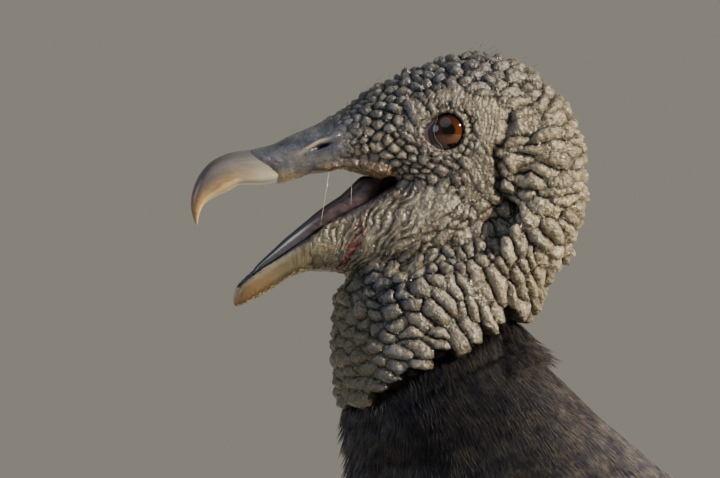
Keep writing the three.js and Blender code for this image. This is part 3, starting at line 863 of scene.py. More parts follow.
# %% Phase of the fine wrinkles
WRINKLE_APART = 1.1  # millimetres from wrinkle to wrinkle behind the eye
PLEAT_FOOT = (-39.0, -58.0)  # the pleats of the jaw fan out from here
PLEATS_PER_RADIAN = 19
behind_eye = np.hypot(face[:, 0], face[:, 2] + 1)
fan = np.arctan2(face[:, 0] - PLEAT_FOOT[0], face[:, 2] - PLEAT_FOOT[1])
on_jaw = face[:, 2] < -17 - 0.25 * face[:, 0]
upright = face[:, 0] - 0.1 * face[:, 2] - 0.012 * face[:, 2] ** 2
phase = np.where(on_jaw, fan * PLEATS_PER_RADIAN, upright / WRINKLE_APART) * 2 * pi
phase += np.where(on_jaw, 2.6, 3.6) * ripple(face, 8.0, rng) + 0.4 * ripple(face, 2.8, rng)
round_eye = smoothstep(6.0, 7.2, behind_eye) * smoothstep(16.0, 11.0, behind_eye) * (out[:, 2] < 0.75)
round_eye *= smoothstep(-4.0, 1.5, face[:, 0] + 0.5 * face[:, 2])
over_jaw = smoothstep(-38, -28, face[:, 0]) * smoothstep(-4, -16, face[:, 0])
over_jaw *= smoothstep(-38, -34, face[:, 2]) * smoothstep(-1.6, 0.4, ripple(face, 5.0, rng))
over_jaw *= smoothstep(-14.5, -17.5, face[:, 2])
pleated = np.where(on_jaw, over_jaw, 0.1 * round_eye) * (1 - mouth)
print("pleated points", int((pleated > 0.05).sum()))

# %% [markdown]
# ## What each point tells the material
# The relief was made from numbers that the colour needs too, such as how near a crease a point is.
# They are kept on the mesh as attributes, so that skin and colour always agree.

# %% Attributes of the sculpted skin
def spread_out(values, elsewhere):
    """Values of the bare points, with one value for all the others."""
    full = np.full(len(points), float(elsewhere))
    full[bare] = values
    return full


# crease below is 0 in a crease and in the deep groove, and the finish paints shade into the colour there
shallow = smoothstep(1.2, 0.4, height)
gap = folds.gap * (1 - np.minimum(groove_depth / 2.5, 1) * np.exp(-(groove / 1.0) ** 2))
chin_top = np.interp(face[:, 0], (-44.2, -39, -32.6, -26), (-32.5, -28.9, -24.9, -20.5))
chin_bottom = np.interp(face[:, 0], (-42, -36.8, -31.4, -26), (-40.1, -38.1, -35.6, -34.5))
tomium = smoothstep(-9.5, -12.5, face[:, 2]) * smoothstep(-28, -33, face[:, 0]) * (face[:, 2] > -18)
MARKS = {
    "crease": gap * (1 - 0.6 * shallow) + 0.6 * shallow,
    "knob": knobs.gap,
    "phase": phase,
    "pleated": pleated,
    "chin": chin * (1 - mouth),
    "chin_level": (face[:, 2] - chin_bottom) / (chin_top - chin_bottom),
    "glint": ridge_mask,
    "tomium": tomium * (1 - mouth),
    "paleness": paleness,
    "mouth": mouth,
    "palate": palate,
    "gape": mouth * smoothstep(-18.0, -13.5, face[:, 0] - 3 * palate),
    "cere": smoothstep(-26, -31, face[:, 0]) * (face[:, 2] > -18) * (1 - mouth),
    "nostril": nostril,
    "lid": lid,
}
for name, values in MARKS.items():
    store(skin, name, spread_out(values, 1.0 if name in ("crease", "knob") else 0.0))
store(skin, "lobe_tone", spread_out(rng.uniform(0, 1, len(seeds))[folds.seed], 0.5))
print("attributes", ", ".join(MARKS))

# %% Wound, feathered part, legs and grain
WOUND = [(-22.4, -23.5), (-24.2, -27.0), (-26.2, -31.0), (-27.8, -34.5), (-30.0, -37.8)]
FEATHERS_END = 106 * MM  # below this height the legs are bare
_, off_wound = along_line(face + bend, WOUND)
wound_width = 1.15 + 0.35 * ripple(face, 3.0, rng)
torn = np.exp(-np.abs(off_wound / wound_width) ** 3) * (face[:, 1] < 0)
torn *= smoothstep(-1.1, -0.3, ripple(face, 2.2, rng))
store(skin, "wound", spread_out(torn * (1 - mouth), 0.0))
feathered = smoothstep(-0.5, 1.5, under_all) * (points[:, 2] > 0.1)
feathered[bare] = np.maximum(hidden, smoothstep(1.0, 3.0, under))
store(skin, "feathered", feathered)
store(skin, "leg", (points[:, 2] < FEATHERS_END) * 1.0)
grain = np.zeros((len(points), 3))
grain[bare] = np.stack([folds.on_a * 0.3, folds.on_b, folds.seed * 3.7], axis=1)
store(skin, "grain", grain)
print("wounded points", int((torn > 0.5).sum()))

# %% [markdown]
# ## The skin's finish
# This is bare vulture skin: living, leathery, grown in folds and dusted with dried flakes. The eye sees
# matt slate lobes, sandier skin where the horny layer is thick, and small glints from a film of grease;
# the creases' near-black is painted shade. One material covers the whole skin, with each zone's colour
# laid over the last by its own attribute. A material for each zone would leave hard borders.

# %% What the skin's finish reads
BLOTCH = 5 * MM  # size of the skin's blotches
FLAKE = 1.3 * MM  # real flakes and pores are 0.1 to 0.3 mm, so they are drawn coarser, to show
PEBBLE = 1.2 * MM  # and so are the pebbles between them
LAID_OVER = {"out": 2, "data_type": "RGBA"}  # one colour laid over another by an amount
TINTED = {"out": 2, "data_type": "RGBA", "blend_type": "MULTIPLY"}  # one colour times another
bare_skin = new_material("bare vulture skin")
skin_node = partial(add_node, bare_skin)  # adds a node to this material
kept = {}
for name in (*MARKS, "lobe_tone", "wound", "feathered", "leg"):
    kept[name] = skin_node("Attribute", out=2, attribute_name=name)
grain = skin_node("Attribute", out=1, attribute_name="grain")
where = skin_node("TexCoord", out=3)
blotch = skin_node("TexNoise", Vector=where, Scale=1 / BLOTCH, Detail=4.0)
speck = skin_node("TexNoise", Vector=where, Scale=1 / FLAKE, Detail=3.0, Roughness=0.55)
wrinkle = skin_node("TexNoise", Vector=grain, Scale=1.5, Detail=3.0, Roughness=0.55)
pebble = skin_node("TexVoronoi", Vector=where, Scale=1 / PEBBLE, feature="SMOOTH_F1")
wave = skin_node("Math", operation="SINE", in_0=kept["phase"])
pleat = skin_node("Math", operation="MULTIPLY", in_0=wave, in_1=kept["pleated"])
fine = skin_node("Math", operation="MULTIPLY_ADD", in_0=wrinkle, in_1=0.7, in_2=speck)
fine = skin_node("Math", operation="MULTIPLY_ADD", in_0=pebble, in_1=-0.5, in_2=fine)
print("the finish reads", len(kept), "attributes")

# %% Lobes, and painted shade in their creases
# Both ramps paint shade into the colour: nearly black in a crease, lighter over the lobe.
dark_lobe_and_crease_shade = skin_node(
    "ValToRGB", Fac=kept["crease"],
    stops=((0.0, "#050507"), (0.14, "#17181b"), (0.34, "#47494f"), (0.7, "#6a6c72")),
)
pale_lobe_and_crease_shade = skin_node(
    "ValToRGB", Fac=kept["crease"],
    stops=((0.0, "#0a0908"), (0.12, "#2b251e"), (0.32, "#847c66"), (0.68, "#b0a88e")),
)
tone = skin_node("Mix", **LAID_OVER, in_0=kept["paleness"], in_6=dark_lobe_and_crease_shade, in_7=pale_lobe_and_crease_shade)
# painted shade in the pits of the fine relief that the bump draws
painted_pit_shade = skin_node("ValToRGB", Fac=fine, stops=((0.25, "#75706a"), (0.5, "#c4c0ba"), (0.8, "#ffffff")))
# painted shade in the crevices between the small knobs
painted_knob_shade = skin_node("ValToRGB", Fac=kept["knob"], stops=((0.0, "#8b857c"), (0.35, "#ffffff")))
lobe_tone = skin_node(
    "ValToRGB", Fac=kept["lobe_tone"],
    stops=((0.0, "#bdbcbc"), (0.5, "#e8e6e2"), (1.0, "#ffffff")),
)
# painted shade in the pleats' hollows, which the bump presses in
painted_pleat_shade = skin_node("ValToRGB", Fac=pleat, stops=((0.0, "#ffffff"), (0.001, "#f2efe9"), (0.9, "#6f6759")))
for amount, tint in ((0.75, painted_pit_shade), (0.6, painted_knob_shade), (1.0, lobe_tone), (1.0, painted_pleat_shade)):
    tone = skin_node("Mix", **TINTED, in_0=amount, in_6=tone, in_7=tint)
print("nodes for the lobes", len(bare_skin.node_tree.nodes))

# %% [markdown]
# ## Cere, chin and nostril
# The cere is smooth, waxy slate skin, worn sandy along the cutting edge of the bill. The chin's skin
# is olive and paler towards the lip. The nostril's hollow is painted dark as shade, and its ridge
# carries a painted pale highlight, the glint.

# %% Cere, chin and nostril
cere_tone = skin_node("ValToRGB", Fac=blotch, stops=((0.3, "#262932"), (0.5, "#454851"), (0.72, "#625f5c")))
chin_tone = skin_node(
    "ValToRGB", Fac=kept["chin_level"],
    stops=((0.0, "#4c4630"), (0.35, "#5f573c"), (0.7, "#777053"), (1.0, "#979076")),
)
# Painted here: nostril is shade darkening its hollow, and glint is a pale highlight along its ridge.
for mark, colour in (
    ("cere", cere_tone), ("tomium", linear("#776c55")), ("glint", linear("#a29a8c")), ("chin", chin_tone),
    ("nostril", linear("#131417")),
):
    tone = skin_node("Mix", **LAID_OVER, in_0=kept[mark], in_6=tone, in_7=colour)
print("nodes so far", len(bare_skin.node_tree.nodes))

# %% [markdown]
# ## Mouth, lids and wound
# The mouth's lining is wet mauve flesh, with a tan roof and a red gape, painted darker as shade deep
# in the mouth's corner. The lids' rims are pink and wet. Beside the chin the skin is torn, and clotted
# blood lies dark in the tear.

# %% Mouth, lids and wound
lining = skin_node("ValToRGB", Fac=blotch, stops=((0.3, "#2b2428"), (0.55, "#4a3f45"), (0.7, "#64403a")))
membrane = skin_node("ValToRGB", Fac=speck, stops=((0.35, "#43301f"), (0.62, "#7c684b")))
# gape: red flesh, painted nearly black as shade at the back of the mouth
for mark, colour in (
    ("mouth", lining), ("palate", membrane), ("gape", linear("#2a1516")), ("lid", linear("#665354")),
):
    tone = skin_node("Mix", **LAID_OVER, in_0=kept[mark], in_6=tone, in_7=colour)
ragged = skin_node("Math", operation="MULTIPLY_ADD", in_0=speck, in_1=2.2, in_2=kept["wound"])
ragged = skin_node("MapRange", Value=ragged, From_Min=1.45, From_Max=1.65)
ragged = skin_node("Math", operation="MULTIPLY", in_0=ragged, in_1=kept["wound"])
ragged = skin_node("MapRange", Value=ragged, From_Min=0.1, From_Max=0.5)
clots = skin_node("ValToRGB", Fac=wrinkle, stops=((0.38, "#1a0407"), (0.5, "#48070c"), (0.62, "#7e1418")))
tone = skin_node("Mix", **LAID_OVER, in_0=ragged, in_6=tone, in_7=clots)
print("nodes so far", len(bare_skin.node_tree.nodes))

# %% [markdown]
# ## Legs and feathered skin
# The shanks and toes are covered with dry, dusty scales of dead horny skin, whose borders the material
# draws and presses in. Under the feathers the skin is simply dark.

# %% Legs and feathered skin
LEG_SCALE = 2.6 * MM  # across one scale of the shanks and toes
leg_tone = skin_node("ValToRGB", Fac=blotch, stops=((0.35, "#5b5956"), (0.6, "#8d8a84")))
scale_gap = skin_node("TexVoronoi", Vector=where, Scale=1 / LEG_SCALE, feature="DISTANCE_TO_EDGE")
scale_gap = skin_node("MapRange", Value=scale_gap, From_Max=0.14)
scale_tone = skin_node("ValToRGB", Fac=scale_gap, stops=((0.0, "#4a4744"), (0.8, "#ffffff")))
leg_tone = skin_node("Mix", **TINTED, in_0=1.0, in_6=leg_tone, in_7=scale_tone)
tone = skin_node("Mix", **LAID_OVER, in_0=kept["leg"], in_6=tone, in_7=leg_tone)
tone = skin_node("Mix", **LAID_OVER, in_0=kept["feathered"], in_6=tone, in_7=linear("#141112"))
print("nodes so far", len(bare_skin.node_tree.nodes))

# %% [markdown]
# ## Relief and gloss of the skin
# Three bumps lie on each other: the legs' scales, the fine pleats, and the flakes. Grease makes the
# bare skin's gloss uneven, the cere is smoother than the rest, and under the feathers there is none.

# %% Relief and gloss of the skin
SCALE_DEEP = 0.5 * MM
PLEAT_DEEP = 0.6 * MM
FLAKE_DEEP = 1.0 * MM
smooth_cere = skin_node("MapRange", Value=kept["cere"], To_Min=0.85, To_Max=0.3)
scales = skin_node("Math", operation="MULTIPLY", in_0=scale_gap, in_1=kept["leg"])
scales = skin_node("Bump", Strength=1.0, Distance=SCALE_DEEP, Height=scales)
pleats = skin_node("Bump", Strength=1.0, Distance=-PLEAT_DEEP, Height=pleat, Normal=scales)
relief = skin_node("Bump", Strength=smooth_cere, Distance=FLAKE_DEEP, Height=fine, Normal=pleats)
gloss = skin_node("MapRange", Value=speck, From_Min=0.35, From_Max=0.62, To_Min=0.5, To_Max=0.22)
for mark, rougher in (("feathered", 0.6), ("glint", -0.2), ("cere", -0.1)):
    gloss = skin_node("Math", operation="MULTIPLY_ADD", in_0=kept[mark], in_1=rougher, in_2=gloss)
wet_film = skin_node("MapRange", Value=kept["feathered"], To_Min=0.4, To_Max=0.0)
set_shader(
    bare_skin, Base_Color=tone, Roughness=gloss, Normal=relief, Coat_Weight=wet_film, Coat_Roughness=0.15,
    Coat_Normal=relief,
)
finish_piece(skin, bare_skin, "head_skin", *head_nodes, *trunk_nodes, *leg_nodes)

# %% [markdown]
# ## Eyes
# Each eye is a ball with a clear bulge at the front, seen through the teardrop between the lids. The
# ball stays full towards the front corner, where the third eyelid lies folded, pink and wet. Rings of
# colour need the distance from the eye's axis, so each point keeps it.

# %% Eyeballs
CORNEA_BULGE = 0.45  # height of the clear bulge, in millimetres
CORNEA_REACH = 4.4  # and its radius


def eyeball(name, side):
    middle, look, back, lift_up = eye_frame(side)
    form = bmesh.new()
    bmesh.ops.create_uvsphere(form, u_segments=72, v_segments=72, radius=RADIUS)
    for vert in form.verts:
        radius = hypot(vert.co.x, vert.co.y)
        angle = atan2(vert.co.y, vert.co.x) % (2 * pi)
        rise = vert.co.z
        if rise > 0:
            rise = float(ball_height(np.array(radius), np.array(angle)))
            rise += CORNEA_BULGE * max(0.0, 1 - (radius / CORNEA_REACH) ** 2)
        place = middle + back * vert.co.x + lift_up * vert.co.y + look * rise
        vert.co = Vector(FACE_ORIGIN) + Vector(place) * MM
    bmesh.ops.recalc_face_normals(form, faces=form.faces)
    ball = object_from(form, f"eyeball_{name}")
    rise, radius, angle = eye_polar(to_face(points_of(ball)), side)
    oval = 1 / np.hypot(np.cos(angle) / OPENING_WIDE, np.sin(angle) / OPENING_TALL)
    store(ball, "ring", np.where(rise > 0, radius, 9.0))
    by_corner = smoothstep(2.1, 2.4, angle) * smoothstep(4.6, 4.2, angle)
    store(ball, "beyond", (radius - oval + 1.0) * by_corner - 1.0)
    store(ball, "low", smoothstep(0.5, -0.5, np.sin(angle - 0.5)))
    store(ball, "ray", np.stack([np.cos(angle) * 2.2, np.sin(angle) * 2.2, radius * 0.25], axis=1))
    return ball


balls = {name: eyeball(name, side) for name, side in SIDES.items()}
print("balls", ", ".join(ball.name for ball in balls.values()))

# %% [markdown]
# ## The eyes' finish
# A bird's eye is living tissue under clear, wet cornea. The iris is orange-brown, with fibres that run
# out from the pupil. Its lower half is painted lit and its upper half painted shaded, as light falls
# through the cornea. All this is seen under one sharp gloss, so a rough colour lies below a coat with
# the cornea's refraction. The third lid's folds are bands of colour, the dark ones painted shade.

# %% Eye finish
wet_eye = new_material("wet bird's eye")
eye_node = partial(add_node, wet_eye)
ring, low, beyond = (
    eye_node("Attribute", out=2, attribute_name=name) for name in ("ring", "low", "beyond")
)
ring_part = eye_node("Math", operation="DIVIDE", in_0=ring, in_1=8.0)
iris = eye_node(
    "ValToRGB", Fac=ring_part,
    stops=((0.0, "#020204"), (0.2, "#030305"), (0.208, "#2c1408"), (0.27, "#5a3519"), (0.4, "#57331b"),
           (0.47, "#3f2112"), (0.51, "#1c0e09"), (0.535, "#080606")),
)
ray = eye_node("Attribute", out=1, attribute_name="ray")
fibres = eye_node("TexNoise", Vector=ray, Scale=9.0, Detail=4.0, Roughness=0.6)
fibre_tone = eye_node("ValToRGB", Fac=fibres, stops=((0.3, "#9a8d84"), (0.7, "#ffffff")))
iris = eye_node("Mix", **TINTED, in_0=0.8, in_6=iris, in_7=fibre_tone)
# Painted light and shade: the iris is tinted warm where lit, below, and grey where shaded, above.
painted_lit_iris = eye_node("Mix", **TINTED, in_0=1.0, in_6=iris, in_7=linear("#ffe2b8"))
painted_shaded_iris = eye_node("Mix", **TINTED, in_0=1.0, in_6=iris, in_7=linear("#b5a9a6"))
iris = eye_node("Mix", **LAID_OVER, in_0=low, in_6=painted_shaded_iris, in_7=painted_lit_iris)
beyond_part = eye_node("MapRange", Value=beyond, From_Min=-0.2, From_Max=3.4)
# The dark bands of this ramp are painted shade in the creases between the third lid's folds.
third_lid = eye_node(
    "ValToRGB", Fac=beyond_part,
    stops=((0.0, "#0a0706"), (0.055, "#100b09"), (0.072, "#b8a680"), (0.095, "#6a5c49"), (0.13, "#140e10"),
           (0.25, "#3c3033"), (0.42, "#46393d"), (0.48, "#181113"), (0.56, "#4a3c41"), (0.8, "#493c41"),
           (1.0, "#463a3e")),
)
in_corner = eye_node("Math", operation="GREATER_THAN", in_0=beyond, in_1=-0.19)
eye_tone = eye_node("Mix", **LAID_OVER, in_0=in_corner, in_6=iris, in_7=third_lid)
set_shader(
    wet_eye, Base_Color=eye_tone, Roughness=0.6, Specular_IOR_Level=0.0, Coat_Weight=1.0,
    Coat_Roughness=0.02, Coat_IOR=1.47,
)
for name, ball in balls.items():
    finish_piece(ball, wet_eye, "eye", f"eye_{name}")

# %% [markdown]
# ## The bill's horn
# The hook and the tip of the lower bill are horn: hard, translucent at the edges, dark on the ridge
# and amber towards the point. Each is a loft: rings are set along the bill where its solid has them,
# with smooth ones between, and bridged. A melted copy of the solid would lose the hook's sharp edge.

# %% Loft
def between(rows, t):
    """Values on a smooth curve through the rows of an array, at t rows from the first."""
    last = len(rows) - 1
    i = min(int(t), last - 1)
    f = t - i
    a, b, c, d = (rows[min(max(k, 0), last)] for k in (i - 1, i, i + 1, i + 2))
    return b + 0.5 * f * (c - a + f * (2 * a - 5 * b + 4 * c - d + f * (3 * (b - c) + d - a)))


def loft(stations, sides=40, per_span=5, widest=0.5, square=2.2):
    """A closed form through oval rings. A station is top x, z, bottom x, z and half width, in face
    millimetres; widest is where between bottom and top the ring is widest."""
    rows = np.array(stations, float)
    form = bmesh.new()
    rings = []
    for n in range((len(rows) - 1) * per_span + 1):
        top_x, top_z, bottom_x, bottom_z, half = between(rows, n / per_span)
        half = max(half, 0.05)
        made = bmesh.ops.create_circle(form, segments=sides, radius=1.0)["verts"]
        middle_x = bottom_x + (top_x - bottom_x) * widest
        middle_z = bottom_z + (top_z - bottom_z) * widest
        for vert in made:
            c, up = vert.co.x, vert.co.y
            rise = abs(up) ** (2 / square)
            end_x, end_z = (top_x, top_z) if up >= 0 else (bottom_x, bottom_z)
            across = copysign(abs(c) ** (2 / square), c) * half
            x = middle_x + (end_x - middle_x) * rise
            vert.co = from_face(x, across, middle_z + (end_z - middle_z) * rise)
        rings.append([e for e in {e for v in made for e in v.link_edges}])
    for first, second in zip(rings, rings[1:]):
        bmesh.ops.bridge_loops(form, edges=first + second)
    bmesh.ops.holes_fill(form, edges=rings[0] + rings[-1], sides=0)
    bmesh.ops.recalc_face_normals(form, faces=form.faces)
    return form


print("loft ready")

# %% Horn shapes
HOOK = [
    # top x, z, bottom x, z, half width
    (-51.0, -4.9, -43.4, -13.2, 4.6),
    (-54.0, -5.3, -46.4, -14.2, 4.9),
    (-55.6, -5.5, -50.6, -14.7, 5.0),
    (-59.0, -6.2, -55.6, -14.7, 4.7),
    (-63.4, -8.4, -59.0, -16.4, 4.1),
    (-66.6, -12.0, -62.4, -17.9, 3.3),
    (-68.4, -16.4, -65.2, -19.6, 2.4),
    (-68.8, -20.4, -66.4, -21.8, 1.6),
    (-68.2, -23.4, -66.9, -23.9, 0.8),
    (-67.5, -25.2, -67.1, -25.3, 0.25),
]
LOWER_HORN = [
    (-32.6, -24.9, -31.4, -35.6, 6.0),
    (-39.0, -28.9, -36.8, -38.1, 6.0),
    (-44.2, -32.5, -42.1, -40.1, 5.5),
    (-49.5, -35.8, -46.6, -43.0, 5.0),
    (-53.0, -38.7, -51.2, -45.5, 4.3),
    (-55.8, -41.6, -54.4, -46.9, 3.1),
    (-56.9, -44.6, -56.0, -47.5, 1.6),
    (-57.1, -46.6, -56.7, -47.4, 0.5),
]
TROUGH = [
    (-62.0, -33.0, -61.0, -41.5, 1.2),
    (-55.0, -30.0, -54.0, -42.3, 2.7),
    (-48.0, -22.0, -47.0, -37.6, 4.2),
    (-40.0, -14.0, -39.0, -31.6, 5.0),
    (-34.0, -10.0, -33.0, -27.0, 6.2),
]


def store_bill_places(piece, stations):
    """Keeps how far tipward each point is, 0 to 1, and its level, -1 at the edge and 1 at the ridge."""
    rows = np.array(stations)
    line = (rows[:, :2] + rows[:, 2:4]) / 2
    steps = np.r_[0, np.cumsum(np.linalg.norm(np.diff(line, axis=0), axis=1))]
    half_height = np.linalg.norm(rows[:, :2] - rows[:, 2:4], axis=1) / 2
    tipward, above = along_line(to_face(points_of(piece)), line.tolist())
    store(piece, "tipward", tipward)
    store(piece, "level", above / np.interp(tipward, steps / steps[-1], half_height))


horn_upper = object_from(loft(HOOK, widest=0.3), "horn_upper")
store_bill_places(horn_upper, HOOK)
print(horn_upper.name, len(horn_upper.data.vertices), "points")

# %% [markdown]
# ## Hollow of the lower bill
# The lower bill is a trough. A filled form is lofted first and a second one is cut from it, and the
# rest is melted to even, small faces with rounded edges. A wall lofted with its inside would need
# rings that turn back on themselves.

# %% Hollow of the lower bill
horn_lower = object_from(loft(LOWER_HORN, widest=0.6), "horn_lower")
trough = object_from(loft(TROUGH, square=3.0), "trough")
hollow = horn_lower.modifiers.new("hollow", "BOOLEAN")
hollow.operation = "DIFFERENCE"
hollow.solver = "MANIFOLD"
hollow.object = trough
apply_modifiers(horn_lower)
bpy.data.objects.remove(trough)
form = bmesh.new()
form.from_mesh(horn_lower.data)
bpy.data.objects.remove(horn_lower)
horn_lower = melted(form, "horn_lower", 0.35 * MM, 3)
store_bill_places(horn_lower, LOWER_HORN)
horn_face = to_face(points_of(horn_lower))
trough_half = np.interp(horn_face[:, 0], [s[0] for s in TROUGH], [s[4] for s in TROUGH])
trough_low = np.interp(horn_face[:, 0], [s[2] for s in TROUGH], [s[3] for s in TROUGH])
inside = (np.abs(horn_face[:, 1]) < trough_half - 0.2) & (horn_face[:, 2] > trough_low - 0.3)
store(horn_lower, "inside", inside)
print(horn_lower.name, len(horn_lower.data.vertices), "points,", int(inside.sum()), "of them inside")

# %% [markdown]
# ## Finish of the hook
# Bill horn is keratin, grown in thin layers from the root and polished by use. It gives the eye a
# satin surface with streaks along the growth, and light that sinks a little way in. Its colour goes
# from pale grey at the root to amber at the tip, where no dark core lies below. So ramps from edge to
# ridge for the root, middle and tip are mixed along the bill.

# %% Streaks
KERATIN = {
    "Subsurface_Weight": 0.15,
    "Subsurface_Radius": (3.0 * MM, 1.8 * MM, 1.0 * MM),  # how far red, green and blue sink in
    "Coat_Weight": 0.3,
    "Coat_Roughness": 0.2,
}


def stretched_noise(material, x, y, z, detail=4.0):
    """Noise whose blotches are x, y and z millimetres long."""
    where = add_node(material, "TexCoord", out=3)
    scale = (1 / (x * MM), 1 / (y * MM), 1 / (z * MM))
    streak = add_node(material, "Mapping", Vector=where, Scale=scale)
    return add_node(material, "TexNoise", Vector=streak, Scale=1.0, Detail=detail, Roughness=0.6)


print("light sinks into keratin by", KERATIN["Subsurface_Radius"], "m")

# %% Finish of the hook
upper_keratin = new_material("upper bill keratin")
hook_node = partial(add_node, upper_keratin)
cloud = stretched_noise(upper_keratin, 7, 4, 3)
streaks = stretched_noise(upper_keratin, 12, 0.5, 0.9)
level, tipward = (
    hook_node("Attribute", out=2, attribute_name=name) for name in ("level", "tipward")
)
shifted = hook_node("Math", operation="MULTIPLY_ADD", in_0=cloud, in_1=0.7, in_2=level)
level_part = hook_node("MapRange", Value=shifted, From_Min=-0.65, From_Max=1.35)
rear = hook_node(
    "ValToRGB", Fac=level_part,
    stops=((0.1, "#adaea6"), (0.3, "#a39d8b"), (0.45, "#8b867c"), (0.62, "#74726f"), (0.85, "#5b5c60")),
)
middle = hook_node(
    "ValToRGB", Fac=level_part,
    stops=((0.1, "#b3a480"), (0.24, "#b9a276"), (0.32, "#96774f"), (0.42, "#8f7e63"), (0.6, "#736b61"),
           (0.9, "#575250")),
)
tip = hook_node(
    "ValToRGB", Fac=level_part,
    stops=((0.1, "#d2b884"), (0.45, "#c09a62"), (0.7, "#96714a"), (0.95, "#6c4f36")),
)
to_middle = hook_node("MapRange", Value=tipward, From_Min=0.12, From_Max=0.45)
to_tip = hook_node("MapRange", Value=tipward, From_Min=0.6, From_Max=0.88)
tone = rear
for amount, colour in ((to_middle, middle), (to_tip, tip)):
    tone = hook_node("Mix", **LAID_OVER, in_0=amount, in_6=tone, in_7=colour)
streak_tone = hook_node("ValToRGB", Fac=streaks, stops=((0.3, "#bdb8b1"), (0.7, "#ffffff")))
tone = hook_node("Mix", **TINTED, in_0=0.4, in_6=tone, in_7=streak_tone)
relief = hook_node("Bump", Strength=0.25, Distance=0.15 * MM, Height=streaks)
set_shader(upper_keratin, Base_Color=tone, Roughness=0.32, Normal=relief, **KERATIN)
finish_piece(horn_upper, upper_keratin, "horn", "bill_hook")

# %% [markdown]
# ## Finish of the lower bill
# The same keratin, but olive on its wall and orange at the tip. Its root is creased where the chin's
# skin ends, and dried grains of food cling below as rough, pale specks, which the relief raises.

# %% Finish of the lower bill
lower_keratin = new_material("lower bill keratin")
bill_node = partial(add_node, lower_keratin)
cloud = stretched_noise(lower_keratin, 6, 3, 2)
grains = stretched_noise(lower_keratin, 0.9, 0.9, 0.9)
level, tipward, inside = (
    bill_node("Attribute", out=2, attribute_name=n) for n in ("level", "tipward", "inside")
)
shifted = bill_node("Math", operation="MULTIPLY_ADD", in_0=cloud, in_1=0.9, in_2=level)
level_part = bill_node("MapRange", Value=shifted, From_Min=-0.55, From_Max=1.45)
wall = bill_node(
    "ValToRGB", Fac=level_part,
    stops=((0.1, "#403b28"), (0.35, "#504a33"), (0.6, "#5f5841"), (0.8, "#7a725b"), (0.95, "#a29a82")),
)
tip = bill_node(
    "ValToRGB", Fac=level_part,
    stops=((0.1, "#5b4125"), (0.45, "#785a33"), (0.75, "#8a7048"), (0.95, "#b3a27f")),
)
front_part = bill_node("MapRange", Value=tipward, From_Min=0.5, From_Max=0.95)
inner = bill_node("ValToRGB", Fac=cloud, stops=((0.3, "#242226"), (0.7, "#443c42")))
rear_part = bill_node("MapRange", Value=tipward, From_Min=0.42, From_Max=0.12)
low_part = bill_node("MapRange", Value=level, From_Min=0.0, From_Max=-0.7)
crust = bill_node("Math", operation="MULTIPLY", in_0=grains, in_1=low_part)
crust_part = bill_node("MapRange", Value=crust, From_Min=0.48, From_Max=0.62)
tone = wall
for amount, colour in (
    (front_part, tip), (rear_part, linear("#5a5340")), (inside, inner), (crust_part, linear("#b0a070")),
):
    tone = bill_node("Mix", **LAID_OVER, in_0=amount, in_6=tone, in_7=colour)
folds_at_root = stretched_noise(lower_keratin, 1.0, 4, 5)
# painted shade in the hollows of the root's creases, where the bump presses in
painted_fold_shade = bill_node("ValToRGB", Fac=folds_at_root, stops=((0.38, "#5c5446"), (0.55, "#ffffff")))
root_part = bill_node("MapRange", Value=tipward, From_Min=0.5, From_Max=0.1, To_Max=0.9)
tone = bill_node("Mix", **TINTED, in_0=root_part, in_6=tone, in_7=painted_fold_shade)
pressed = bill_node("Math", operation="MULTIPLY", in_0=folds_at_root, in_1=root_part)
pressed = bill_node("Bump", Strength=0.7, Distance=0.9 * MM, Height=pressed)
relief = bill_node("Bump", Strength=0.8, Distance=0.8 * MM, Height=crust, Normal=pressed)
set_shader(lower_keratin, Base_Color=tone, Roughness=0.35, Normal=relief, **KERATIN)
finish_piece(horn_lower, lower_keratin, "horn", "bill_lower")

# %% [markdown]
# ## Tongue
# The tongue is a slate-grey trough of wet flesh with a paler raised rim. It is melted from its solid,
# and its middle is pressed down.

# %% Tongue
tongue_piece = melted(copy_of(["tongue"]), "tongue_flesh", 0.5 * MM, 10)
tongue_face = to_face(points_of(tongue_piece))
half = np.interp(tongue_face[:, 0], (-52, -42, -32, -22, -10), (1.6, 3.4, 5.0, 6.3, 3.2))
side_part = np.abs(tongue_face[:, 1]) / half
upward = np.maximum(normals_of(tongue_piece)[:, 2], 0)
tongue_face[:, 2] -= (0.5 + 1.6 * smoothstep(0.85, 0.3, side_part)) * upward
rise_to_gape = np.interp(
    tongue_face[:, 0], (-32, -26.5, -23.4, -20.6, -16, -12), (0, 0.8, 2.0, 3.5, 3.0, 0.5),
)
tongue_face[:, 2] += rise_to_gape * smoothstep(-0.2, 0.5, normals_of(tongue_piece)[:, 2])
move_points(tongue_piece, tongue_face * MM + FACE_ORIGIN)
store(tongue_piece, "rim", np.exp(-((side_part - 0.82) / 0.12) ** 2) * (upward > 0.15))
store(tongue_piece, "rearward", smoothstep(-42, -33, tongue_face[:, 0]))
print(tongue_piece.name, len(tongue_piece.data.vertices), "points")

# %% [markdown]
# ## Finish of the tongue
# A vulture's tongue is muscle under tough wet skin, slate-grey, paler on its worn rim and redder
# towards the throat. The film of saliva is thin and the skin below is slightly rough, so the
# highlights are soft and broad.

